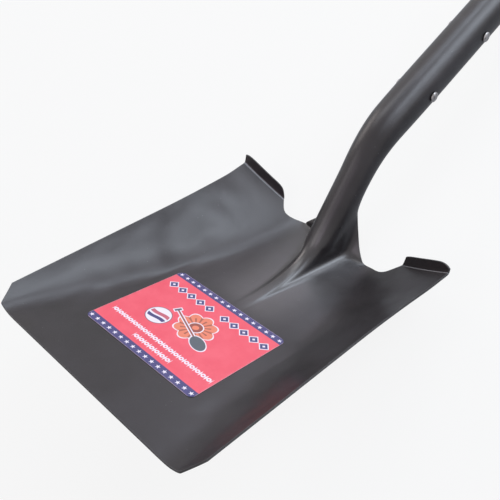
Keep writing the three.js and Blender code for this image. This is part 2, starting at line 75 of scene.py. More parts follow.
def cubic(share: float, a: float, b: float, c: float, d: float) -> float:
    """Return one coordinate of a cubic curve with ends a, d and handles b, c."""
    rest = 1 - share
    return rest**3 * a + 3 * rest**2 * share * b + 3 * rest * share**2 * c + share**3 * d


def linear(red: int, green: int, blue: int) -> Colour:
    """Return an 8 bit screen colour as linear light."""
    shares = (red / 255, green / 255, blue / 255)
    return tuple(s / 12.92 if s <= 0.04045 else ((s + 0.055) / 1.055) ** 2.4 for s in shares)


# Node maths

MIX_COLOUR_INPUTS = (0, 6, 7)
MIX_COLOUR_OUTPUT = 2


class Sock:
    """One output socket, on which sums are written as Python expressions."""

    def __init__(self, bench: "Bench", socket: bpy.types.NodeSocket) -> None:
        """Keep the socket and the bench that adds nodes after it."""
        self.bench = bench
        self.socket = socket

    def _sum(self, operation: str, *operands: "Value") -> "Sock":
        """Return a Math node of this operation on the operands."""
        return self.bench.node("ShaderNodeMath", {"operation": operation}, list(operands))

    def __add__(self, other: "Value") -> "Sock":
        """Return self + other."""
        return self._sum("ADD", self, other)

    __radd__ = __add__

    def __sub__(self, other: "Value") -> "Sock":
        """Return self - other."""
        return self._sum("SUBTRACT", self, other)

    def __rsub__(self, other: "Value") -> "Sock":
        """Return other - self."""
        return self._sum("SUBTRACT", other, self)

    def __mul__(self, other: "Value") -> "Sock":
        """Return self * other."""
        return self._sum("MULTIPLY", self, other)

    __rmul__ = __mul__

    def __truediv__(self, other: "Value") -> "Sock":
        """Return self / other."""
        return self._sum("DIVIDE", self, other)

    def __pow__(self, other: "Value") -> "Sock":
        """Return self to the power of other."""
        return self._sum("POWER", self, other)

    def __abs__(self) -> "Sock":
        """Return the size of self without its sign."""
        return self._sum("ABSOLUTE", self)

    def sine(self) -> "Sock":
        """Return the sine of self."""
        return self._sum("SINE", self)

    def cosine(self) -> "Sock":
        """Return the cosine of self."""
        return self._sum("COSINE", self)

    def fraction(self) -> "Sock":
        """Return the part of self after the point."""
        return self._sum("FRACT", self)

    def least(self, other: "Value") -> "Sock":
        """Return the smaller of self and other."""
        return self._sum("MINIMUM", self, other)

    def most(self, other: "Value") -> "Sock":
        """Return the larger of self and other."""
        return self._sum("MAXIMUM", self, other)

    def below(self, other: "Value") -> "Sock":
        """Return 1 where self is below other, else 0."""
        return self._sum("LESS_THAN", self, other)

    def above(self, other: "Value") -> "Sock":
        """Return 1 where self is above other, else 0."""
        return self._sum("GREATER_THAN", self, other)

    def angle(self, other: "Value") -> "Sock":
        """Return the angle whose tangent is self / other, in radians."""
        return self._sum("ARCTAN2", self, other)

    def repeated(self, pitch: float, shift: float = 100.5) -> "Sock":
        """Return how far self is from its cell's middle; the shift, in cells, keeps the sum above 0."""
        return ((self / pitch + shift).fraction() - 0.5) * pitch

    def ramp(self, none: float, full: float) -> "Sock":
        """Climb smoothly from 0 to 1.

        Args:
            none: input that gives 0.
            full: input that gives 1, which may be the smaller of the two.

        Returns:
            The socket of the result.
        """
        ends = [none, full, 0.0, 1.0] if none < full else [full, none, 1.0, 0.0]
        return self.bench.node("ShaderNodeMapRange", {"interpolation_type": "SMOOTHSTEP"}, [self, *ends])


Value = Union[Sock, float, Sequence[float]]


def span(x: Sock, y: Sock) -> Sock:
    """Return the distance of a point from the middle."""
    return (x * x + y * y) ** 0.5


class Bench:
    """A node tree, with the one method that adds any node to it, and short forms of it."""

    def __init__(self, tree: bpy.types.NodeTree) -> None:
        """Empty the tree and keep it."""
        tree.nodes.clear()
        self.tree = tree

    def node(
        self,
        kind: str,
        settings: Optional[Mapping[str, object]] = None,
        values: Union[Sequence[Value], Mapping[str, Value], None] = None,
        output: Union[int, str] = 0,
    ) -> Sock:
        """Add a node.

        Args:
            kind: type of the node.
            settings: its properties, set first.
            values: numbers or sockets for its inputs, in order or by name or number.
            output: which output to return.

        Returns:
            The chosen output.
        """
        made = self.tree.nodes.new(kind)
        for name, value in (settings or {}).items():
            setattr(made, name, value)
        pairs = values.items() if isinstance(values, Mapping) else enumerate(values or [])
        for key, value in pairs:
            if isinstance(value, Sock):
                self.tree.links.new(value.socket, made.inputs[key])
            else:
                made.inputs[key].default_value = value
        return Sock(self, made.outputs[output] if len(made.outputs) else None)

    def axes(self, vector: Sock) -> tuple[Sock, Sock, Sock]:
        """Return the three numbers of a vector."""
        first = self.node("ShaderNodeSeparateXYZ", None, [vector])
        return tuple(Sock(self, output) for output in first.socket.node.outputs)

    def spot(self) -> Sock:
        """Return Object coordinates."""
        return self.node("ShaderNodeTexCoord", None, None, "Object")

    def attribute(self, name: str) -> Sock:
        """Return the number that the mesh keeps under a name."""
        return self.node("ShaderNodeAttribute", {"attribute_name": name}, None, "Fac")

    def rays(self) -> tuple[Sock, Sock]:
        """Return 1 on rays straight from the camera, and 1 on those off or through a gloss."""
        straight = self.node("ShaderNodeLightPath", None, None, "Is Camera Ray")
        outputs = straight.socket.node.outputs
        gloss = Sock(self, outputs["Is Glossy Ray"])
        return straight, gloss.most(Sock(self, outputs["Is Transmission Ray"]))

    def placed(self, place: Matrix) -> Sock:
        """Return Object coordinates measured in a frame.

        Args:
            place: frame whose own coordinates are wanted, in the object's.

        Returns:
            The coordinates, in metres.
        """
        values = {"Vector": self.spot(), "Location": place.to_translation(), "Rotation": place.to_euler()}
        return self.node("ShaderNodeMapping", {"vector_type": "TEXTURE"}, values)

    def scaled(self, vector: Sock, factors: Point) -> Sock:
        """Return a vector with each axis multiplied by a factor."""
        return self.node("ShaderNodeVectorMath", {"operation": "MULTIPLY"}, [vector, factors])

    def distance(self, vector: Sock, centre: Point) -> Sock:
        """Return how far a vector is from a fixed one."""
        return self.node("ShaderNodeVectorMath", {"operation": "DISTANCE"}, [vector, centre], "Value")

    def noise(self, vector: Sock, scale: float, detail: float = 2.0, roughness: float = 0.5) -> Sock:
        """Return soft noise from 0 to 1."""
        values = {"Vector": vector, "Scale": scale, "Detail": detail, "Roughness": roughness}
        return self.node("ShaderNodeTexNoise", None, values)

    def cells(self, vector: Sock, scale: float) -> Sock:
        """Return the distance to the nearest of scattered points."""
        return self.node("ShaderNodeTexVoronoi", None, {"Vector": vector, "Scale": scale})

    def blend(self, share: Value, under: Value, over: Value) -> Sock:
        """Mix two colours.

        Args:
            share: how much of the second shows.
            under: first colour.
            over: second colour.

        Returns:
            The mixed colour.
        """
        colours = [(*c, 1.0) if isinstance(c, tuple) else c for c in (under, over)]
        inputs = dict(zip(MIX_COLOUR_INPUTS, (share, *colours)))
        return self.node("ShaderNodeMix", {"data_type": "RGBA"}, inputs, MIX_COLOUR_OUTPUT)

    def bump(self, height: Sock, depth: float, under: Optional[Sock] = None, strength: float = 1.0) -> Sock:
        """Return a normal bumped by a height of 0 to 1 over a depth in metres."""
        values: dict[str, Value] = {"Strength": strength, "Distance": depth, "Height": height}
        if under is not None:
            values["Normal"] = under
        return self.node("ShaderNodeBump", None, values)


class Shader(Bench):
    """The node tree of a new material."""

    def __init__(self, name: str) -> None:
        """Make the material and empty its tree."""
        self.material = bpy.data.materials.new(name)
        self.material.use_nodes = True
        super().__init__(self.material.node_tree)

    def close(self, **values: Value) -> bpy.types.Material:
        """End the tree in a Principled surface.

        Args:
            **values: its inputs, with _ for each space of their names.

        Returns:
            The finished material.
        """
        named = {key.replace("_", " "): value for key, value in values.items()}
        surface = self.node("ShaderNodeBsdfPrincipled", None, named)
        self.node("ShaderNodeOutputMaterial", None, {"Surface": surface})
        return self.material


# Finishes


@dataclass(frozen=True)
class BlackCoat:
    """Baked black coating on pressed steel, satin, with a fine orange peel and light handling marks, and a
    pale highlight painted along the head's fold.
    """

    name: str = "black_coat"
    film: Colour = (0.0065, 0.0055, 0.006)
    haze: Colour = (0.019, 0.0165, 0.0185)
    bare: Colour = (0.10, 0.098, 0.096)
    # pale bluish grey: on the coat this is a painted highlight along the steps' fold
    rubbed_and_sheen: Colour = (0.36, 0.36, 0.38)
    tint: tuple[float, float, float, float] = (1.0, 0.88, 0.94, 1.0)
    specular: float = 0.25
    roughness: float = 0.32
    gloss: float = 0.46
    gloss_roughness: float = 0.28
    speck_share: float = 0.75
    rim_share: float = 0.3
    # how far the fold's painted highlight goes towards its pale grey
    fold_highlight_mix: float = 0.7
    edge_wear: float = 0.0007
    waviness: float = 0.0024
    drift_depth: float = 0.0004
    peel_depth: float = 0.00013
    blister: Point = (0.01424, -0.27674, 0.03899)
    blister_radius: float = 0.0016
    blister_height: float = 0.0005

    def make(self, is_head: bool = False) -> bpy.types.Material:
        """Build the material.

        Args:
            is_head: whether it is for the head, whose mesh carries marks of wear.

        Returns:
            The material.
        """
        shader = Shader(self.name + ("_rim" if is_head else ""))
        spot = shader.spot()
        cloud = shader.noise(spot, 11.0, 3.0, 0.55)
        drift = shader.noise(shader.scaled(spot, (1.0, 0.35, 1.0)), 30.0, 4.0, 0.6)
        blotch = shader.noise(spot, 26.0, 2.0, 0.45)
        hazy = cloud.ramp(0.40, 0.66) * 0.4 + blotch.ramp(0.42, 0.66) * 0.35
        colour = shader.blend(hazy + drift.ramp(0.45, 0.75) * 0.25, self.film, self.haze)
        specks = shader.cells(spot, 190.0).ramp(0.09, 0.04) * shader.noise(spot, 55.0).ramp(0.53, 0.60)
        colour = shader.blend(specks * self.speck_share, colour, self.bare)
        peel = shader.noise(spot, 620.0, 2.0, 0.5)
        roughness = self.roughness + 0.10 * cloud + 0.14 * blotch + 0.06 * drift
        gloss: Value = self.gloss
        if is_head:
            ragged = shader.attribute("edge_distance") / self.edge_wear
            worn = (ragged + 1.6 * shader.noise(spot, 260.0, 3.0) - 0.8).ramp(1.0, 0.35)
            colour = shader.blend(worn * self.rim_share, colour, self.bare)
            polish = shader.attribute("polish")
            roughness = roughness + 0.05 * worn - 0.06 * polish
            gloss = self.gloss + (1 - self.gloss) * polish
            # Painted highlight: the steps' fold is lightened towards a pale bluish grey, as if the bend
            # caught the light
            fold = shader.attribute("fold").ramp(0.42, 0.64)
            colour = shader.blend(fold * self.fold_highlight_mix, colour, self.rubbed_and_sheen)
        wavy = shader.bump(blotch, self.waviness, shader.bump(drift, self.drift_depth, None, 0.5))
        if is_head:
            risen = shader.distance(spot, self.blister).ramp(self.blister_radius, 0.0)
            wavy = shader.bump(risen, self.blister_height, wavy)
        return shader.close(
            Base_Color=colour,
            Roughness=roughness,
            Normal=shader.bump(peel, self.peel_depth, wavy),
            Specular_IOR_Level=self.specular,
            Specular_Tint=self.tint,
            Coat_Weight=gloss,
            Coat_Roughness=self.gloss_roughness,
        )


@dataclass(frozen=True)
class BrightSteel:
    """Zinc plated steel of the rivets and the pin, dulled by handling."""

    name: str = "bright_steel"
    plate: Colour = linear(164, 160, 160)
    dull: Colour = linear(92, 86, 84)
    metallic: float = 0.9
    roughness: float = 0.28
    stain_depth: float = 0.00008

    def make(self) -> bpy.types.Material:
        """Build the material."""
        shader = Shader(self.name)
        spot = shader.spot()
        spangle = shader.cells(spot, 900.0)
        stain = shader.noise(spot, 320.0, 4.0, 0.6)
        colour = shader.blend(stain.ramp(0.45, 0.7), self.plate, self.dull)
        roughness = self.roughness + 0.2 * stain + 0.08 * spangle
        normal = shader.bump(stain, self.stain_depth)
        return shader.close(Base_Color=colour, Roughness=roughness, Metallic=self.metallic, Normal=normal)


@dataclass(frozen=True)
class AshWood:
    """Turned ash with its grain along one axis, under clear varnish."""

    name: str
    place: Matrix
    along: Point
    pale: Colour = linear(222, 184, 130)
    late: Colour = linear(178, 126, 74)
    pore: Colour = linear(120, 78, 42)
    ring_scale: float = 2100.0
    ring_wander: float = 0.011
    pore_depth: float = 0.00012
    roughness: float = 0.34
    varnish: float = 0.35
    varnish_roughness: float = 0.22

    def make(self) -> bpy.types.Material:
        """Build the material."""
        shader = Shader(self.name)
        spot = shader.placed(self.place)
        drawn = shader.scaled(spot, self.along)
        wander = shader.noise(drawn, 24.0, 3.0, 0.6)
        x, _, z = shader.axes(spot)
        depth = x * 0.8 + z * 0.6 + self.ring_wander * wander
        rings = (depth * self.ring_scale).sine() * 0.5 + 0.5
        streaks = shader.noise(shader.scaled(spot, tuple(f**2 for f in self.along)), 900.0, 3.0, 0.7)
        colour = shader.blend(rings.ramp(0.35, 0.9) * 0.75, self.pale, self.late)
        colour = shader.blend(streaks.ramp(0.56, 0.72) * 0.6, colour, self.pore)
        colour = shader.blend(wander.ramp(0.5, 0.8) * 0.25, colour, self.late)
        return shader.close(
            Base_Color=colour,
            Roughness=self.roughness + 0.14 * streaks,
            Normal=shader.bump(streaks, self.pore_depth),
            Coat_Weight=self.varnish,
            Coat_Roughness=self.varnish_roughness,
        )


@dataclass(frozen=True)
class LabelPrint:
    """Printed film: a red field between two navy bands of white stars, with plain ornament on it."""

    place: Matrix
    width: float
    length: float
    name: str = "label_print"
    red: Colour = linear(236, 84, 100)
    worn_red: Colour = linear(244, 104, 118)
    navy: Colour = linear(66, 60, 112)
    white: Colour = linear(240, 228, 236)
    salmon: Colour = linear(232, 130, 100)
    brown: Colour = linear(150, 74, 62)
    slate: Colour = linear(84, 88, 96)
    rose: Colour = linear(196, 96, 112)
    # on the label this is only the pale colour of its rubbed edges
    rubbed_and_sheen: Colour = linear(232, 200, 204)
    grimy: Colour = linear(130, 66, 74)
    roughness: float = 0.36
    grime_depth: float = 0.00004
    wrinkle_depth: float = 0.0006
    worn_edge: float = 0.0009
    edge: float = 0.0002
    band: float = 0.0080
    star_radius: float = 0.0024
    star_count: int = 17
    bead_rows: tuple[tuple[float, float, int], ...] = ((0.0017, -0.0299, 9), (0.0025, -0.0396, 3))
    lozenges_at: tuple[float, float] = (0.002, 0.0342)
    rosette_at: tuple[float, float] = (0.0050, 0.0060)
    spade_at: tuple[float, float] = (0.0020, 0.0010)
    button_at: tuple[float, float] = (-0.0265, -0.0072)

    @staticmethod
    def star(x: Sock, y: Sock, radius: float) -> Sock:
        """Draw a star of five points.

        Args:
            x: distance across from its middle.
            y: distance up from its middle.
            radius: distance from its middle to a point.

        Returns:
            1 inside the star, 0 outside.
        """
        fifth = math.pi / 2.5
        folded = abs(x.angle(y).repeated(fifth))
        inner = 0.4 * radius
        notch = (inner * math.cos(fifth / 2), inner * math.sin(fifth / 2))
        edge = math.hypot(radius - notch[0], notch[1])
        normal = (notch[1] / edge, (radius - notch[0]) / edge)
        out = span(x, y) * (folded.cosine() * normal[0] + folded.sine() * normal[1])
        limit = radius * normal[0]
        return out.ramp(limit * 1.06, limit * 0.94)

    def within(self, distance: Sock, limit: float) -> Sock:
        """Return 1 where a distance is under its limit, with a soft printed edge."""
        return distance.ramp(limit + self.edge, limit - self.edge)

    def make(self) -> bpy.types.Material:
        """Build the material."""
        shader = Shader(self.name)
        spot = shader.placed(self.place)
        x, y, _ = shader.axes(spot)
        fade = shader.noise(spot, 40.0, 4.0, 0.6)
        grime = shader.noise(spot, 190.0, 4.0, 0.65)
        colour = shader.blend(fade.ramp(0.35, 0.7) * 0.5, self.red, self.worn_red)
        for across, up, count in self.bead_rows:
            colour = shader.blend(self._beads(x - across, y - up, count), colour, self.white)
        for draw, (across, up) in (
            (self._lozenges, self.lozenges_at),
            (self._rosette, self.rosette_at),
            (self._spade, self.spade_at),
            (self._button, self.button_at),
        ):
            colour = draw(shader, colour, x - across, y - up)
        from_end = self.length / 2 - abs(y)
        colour = shader.blend(self.within(from_end, self.band), colour, self.navy)
        cell = x.repeated(self.width / self.star_count)
        stars = self.star(cell, from_end - self.band / 2, self.star_radius)
        colour = shader.blend(stars, colour, self.white)
        edge = (self.width / 2 - abs(x)).least(from_end)
        rub = (edge / self.worn_edge + 1.4 * grime - 0.6).ramp(0.8, 0.1)
        colour = shader.blend(rub * 0.5, colour, self.rubbed_and_sheen)
        colour = shader.blend(grime.ramp(0.62, 0.8) * 0.2, colour, self.grimy)
        wrinkle = shader.noise(shader.scaled(spot, (1.0, 2.2, 1.0)), 34.0, 3.0, 0.5)
        creased = shader.bump(wrinkle, self.wrinkle_depth, None, 0.35)
        normal = shader.bump(grime, self.grime_depth, creased)
        return shader.close(Base_Color=colour, Roughness=self.roughness + 0.2 * grime, Normal=normal)

    def _discs(self, shader: Shader, colour: Sock, reach: Sock, *discs: tuple[float, Colour]) -> Sock:
        """Return the colour with discs over it, each given by its radius and its ink."""
        for radius, ink in discs:
            colour = shader.blend(self.within(reach, radius), colour, ink)
        return colour

    def _lozenges(self, shader: Shader, colour: Sock, x: Sock, y: Sock) -> Sock:
        """Return the colour with two runs of navy lozenges, outlined in white, along the rear."""
        pitch, count, gap = 0.0114, 5, 0.0035
        half_width, half_height = 0.0051, 0.0053
        along = abs(x) - gap
        shape = abs(along.repeated(pitch, 1.0)) / half_width + abs(y) / half_height
        inside = along.above(0.0) * along.below(pitch * count)
        for limit, ink in ((1.10, self.white), (0.86, self.navy), (0.30, self.white)):
            colour = shader.blend(shape.ramp(limit + 0.05, limit - 0.05) * inside, colour, ink)
        return colour

    def _beads(self, x: Sock, y: Sock, count: int) -> Sock:
        """Return a row of beads and small lozenges, with a count of beads on each side of the middle."""
        pitch, bead, hole = 0.0062, 0.0021, 0.0008
        half_width, half_height = 0.0009, 0.0034
        cell = x.repeated(pitch)
        reach = span(cell, y)
        ring = self.within(reach, bead) - self.within(reach, hole)
        between = (0.5 * pitch - abs(cell)) / half_width + abs(y) / half_height
        return ring.most(between.ramp(1.1, 0.9)) * abs(x).below(pitch * (count + 0.5))

    def _rosette(self, shader: Shader, colour: Sock, x: Sock, y: Sock) -> Sock:
        """Return the colour with a rosette of plain petals, outlined in white."""
        reach = span(x, y)
        wave = abs((x.angle(y) * 4.0).cosine())
        petal = reach / (0.80 + 0.20 * wave)
        colour = self._discs(shader, colour, petal, (0.0196, self.white), (0.0184, self.salmon))
        gaps = wave.ramp(0.42, 0.12) * self.within(petal, 0.0180)
        veins = wave.ramp(0.94, 0.99) * self.within(reach, 0.0130)
        colour = shader.blend((gaps + veins) * 0.8, colour, self.brown)
        heart = ((0.0072, self.white), (0.0062, self.brown), (0.0030, self.salmon))
        return self._discs(shader, colour, reach, *heart)

    def _spade(self, shader: Shader, colour: Sock, x: Sock, y: Sock) -> Sock:
        """Return the colour with a plain sign for a spade across the rosette, outlined in white."""
        slope = math.radians(-23)
        half_length, half_width, size, half_stick = 0.0095, 0.0060, 0.0075, 0.0008
        along = x * math.cos(slope) + y * math.sin(slope)
        off = abs(y * math.cos(slope) - x * math.sin(slope))
        blade = span((along - 0.0205) / half_length, off / half_width) * size
        stick = off.most(abs(along + 0.0070) - 0.0195)
        grip = (abs(along + 0.0265) - 0.0012).most(off - 0.0032)
        for margin, dark, wood in ((0.0010, self.white, self.white), (0.0, self.slate, self.brown)):
            colour = shader.blend(self.within(stick, half_stick + margin), colour, wood)
            if margin:
                colour = shader.blend(self.within(grip.most(0.0), margin), colour, wood)
            colour = shader.blend(self.within(blade, size + margin), colour, dark)
        return shader.blend(self.within(grip, 0.0), colour, self.slate)

    def _button(self, shader: Shader, colour: Sock, x: Sock, y: Sock) -> Sock:
        """Return the colour with a plain round button crossed by two soft bars."""
        reach = span(x, y)
        colour = self._discs(shader, colour, reach, (0.0117, self.slate), (0.0111, self.white))
        inside = self.within(reach, 0.0098)
        height = y - (x * 260.0).sine() * 0.0010
        for middle, half_width, ink in ((0.0022, 0.0020, self.rose), (-0.0036, 0.0018, self.navy)):
            bar = self.within(abs(height - middle), half_width) * inside
            colour = shader.blend(bar, colour, ink)
        return colour


# Making pieces

# A turned piece is drawn along Y: these lay it along X, and stand it along Z.
ACROSS = Matrix.Rotation(-math.pi / 2, 4, "Z")
THROUGH = Matrix.Rotation(math.pi / 2, 4, "X")


class Slot(Enum):
    """The record's material slots."""

    BLACK = "black_steel"
    BRIGHT = "bright_steel"
    WOOD = "ash_wood"
    PRINT = "label_print"


def settle(name: str, mesh: bmesh.types.BMesh, place: Matrix) -> bpy.types.Object:
    """Turn a built mesh into a shown object whose place is in its mesh.

    Args:
        name: name of the piece.
        mesh: the built mesh, which is freed.
        place: frame that the mesh was built in.

    Returns:
        The object, at the origin.
    """
    bmesh.ops.transform(mesh, matrix=place, verts=mesh.verts)
    data = bpy.data.meshes.new(name)
    mesh.to_mesh(data)
    mesh.free()
    data.shade_smooth()
    made = bpy.data.objects.new(name, data)
    bpy.context.scene.collection.objects.link(made)
    return made


def applied(source: bpy.types.Object) -> bmesh.types.BMesh:
    """Return an object's mesh with its modifiers, and delete the object."""
    graph = bpy.context.evaluated_depsgraph_get()
    mesh = bmesh.new()
    mesh.from_object(source, graph)
    bpy.data.objects.remove(source)
    return mesh


def soften(made: bpy.types.Object, width: float, segments: int = 2, angle: float = 50.0) -> None:
    """Round an object's sharp edges and even its shading.

    Args:
        made: the object.
        width: width of the rounding, in metres.
        segments: steps in it.
        angle: least turn that is rounded, in degrees.
    """
    bevel = made.modifiers.new("rounding", "BEVEL")
    bevel.limit_method = "ANGLE"
    bevel.angle_limit = math.radians(angle)
    bevel.width = width
    bevel.segments = segments
    bevel.profile = 0.5
    made.modifiers.new("shading", "WEIGHTED_NORMAL")


def present(made: bpy.types.Object, material: bpy.types.Material, slot: Slot, *nodes: str) -> None:
    """Dress a finished piece and tie it to the frame.

    Args:
        made: the finished object.
        material: its finish.
        slot: the record's slot of that finish; not used.
        *nodes: the CAD nodes that it stands for.
    """
    made.data.materials.clear()
    made.data.materials.append(material)
    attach(made, "root")
    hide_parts(*nodes)
    log.info("%s: %d faces before modifiers", made.name, len(made.data.polygons))


def turned(profile: Sequence[tuple[float, float]], steps: int) -> bmesh.types.BMesh:
    """Turn a profile about the Y axis.

    Args:
        profile: pairs of radius and height, from one end of the axis to the other.
        steps: steps of the full turn.

    Returns:
        A closed mesh.
    """
    mesh = bmesh.new()
    points = [mesh.verts.new((radius, height, 0.0)) for radius, height in profile]
    edges = [mesh.edges.new(pair) for pair in zip(points, points[1:])]
    bmesh.ops.spin(
        mesh,
        geom=points + edges,
        cent=(0, 0, 0),
        axis=(0, 1, 0),
        angle=2 * math.pi,
        steps=steps,
        use_merge=True,
    )
    bmesh.ops.remove_doubles(mesh, verts=mesh.verts, dist=1e-7)
    bmesh.ops.recalc_face_normals(mesh, faces=mesh.faces)
    return mesh


# Head


@dataclass
class Pan:
    """The pan's face: a flat floor that rises to the rear, and walls that sweep up to the rims."""

    width: float = 0.2392
    length: float = 0.2985
    floor_flat_length: float = 0.163
    floor_rear_rise: float = 0.023
    floor_half_front: float = 0.098
    floor_half_rear: float = 0.042
    rim_height_front: float = 0.0103
    rim_height_rear: float = 0.059
    shoulder_lift: float = 0.0024
    shoulder_lift_length: float = 0.026
    shoulder_flare: float = 0.0056
    shoulder_flare_length: float = 0.126
    flare_power: float = 1.8
    corner_width: float = 0.0086
    corner_length: float = 0.015
    round_front: float = 1.2
    round_rear: float = 0.15
    round_change: tuple[float, float] = (0.2, 0.97)

    def rim_x(self, y: float) -> float:
        """Return how far out the side rim is at a distance from the mouth."""
        along = max(0.0, y - (self.length - self.shoulder_flare_length)) / self.shoulder_flare_length
        return self.width / 2 + self.shoulder_flare * along**self.flare_power

    def rim_z(self, y: float) -> float:
        """Return how high the side rim is at a distance from the mouth."""
        start, end = (self.length - share * self.shoulder_lift_length for share in (1.5, 0.5))
        climb = lerp(self.rim_height_front, self.rim_height_rear, y / self.length)
        return climb + self.shoulder_lift * smoothstep(y, start, end)

    def floor_z(self, y: float) -> float:
        """Return the height of the floor along the middle."""
        along = max(0.0, y - self.floor_flat_length) / (self.length - self.floor_flat_length)
        return self.floor_rear_rise * along**2

    def face_z(self, x: float, y: float) -> float:
        """Return the height of the face at a point."""
        wall = lerp(self.floor_half_front, self.floor_half_rear, y / self.length)
        across = max(0.0, (abs(x) - wall) / (self.rim_x(y) - wall))
        change = smoothstep(y / self.length, *self.round_change)
        round_ = lerp(self.round_front, self.round_rear, change)
        climb = (math.hypot(across, round_) - round_) / (math.hypot(1, round_) - round_)
        return self.floor_z(y) + (self.rim_z(y) - self.floor_z(y)) * climb

    def mouth_y(self, x: float) -> float:
        """Return where the sheet starts at the mouth, whose corners are cut off."""
        past = max(0.0, abs(x) - (self.width / 2 - self.corner_width))
        return self.corner_length * past / self.corner_width


@dataclass
class Socket:
    """The rolled socket: steep above the neck, then a bend, then along the shaft."""

    neck_radius: float = 0.0156
    radius: float = 0.0195
    steep_angle: float = math.radians(64.4)
    lift_angle: float = math.radians(35.6)
    steep_length: float = 0.0825
    bend_radius: float = 0.1084
    upper_length: float = 0.190
    taper_length: float = 0.095
    taper_lead: float = 0.020
    seam_gap: float = 0.0012
    start: tuple[float, float] = (0.0, 0.0)

    @property
    def bend_length(self) -> float:
        """Return the length of the bend along the middle line."""
        return self.bend_radius * (self.steep_angle - self.lift_angle)

    @property
    def length(self) -> float:
        """Return the whole length of the middle line."""
        return self.steep_length + self.bend_length + self.upper_length

    def axis(self, distance: float) -> tuple[float, float, float]:
        """Follow the middle line.

        Args:
            distance: length along it from the neck.

        Returns:
            The point's y and z, and the slope angle there.
        """
        steep = min(distance, self.steep_length)
        turned_by = (distance - self.steep_length) / self.bend_radius
        angle = self.steep_angle - min(max(turned_by, 0.0), self.steep_angle - self.lift_angle)
        upper = max(0.0, distance - self.steep_length - self.bend_length)
        y = self.start[0] + steep * math.cos(self.steep_angle) + upper * math.cos(self.lift_angle)
        z = self.start[1] + steep * math.sin(self.steep_angle) + upper * math.sin(self.lift_angle)
        y += self.bend_radius * (math.sin(self.steep_angle) - math.sin(angle))
        z += self.bend_radius * (math.cos(angle) - math.cos(self.steep_angle))
        return y, z, angle

    def outer_radius(self, distance: float) -> float:
        """Return the outside radius, which grows through the bend."""
        start = self.steep_length - self.taper_lead
        grown = smoothstep(distance, start, start + self.taper_length)
        return lerp(self.neck_radius, self.radius, grown)


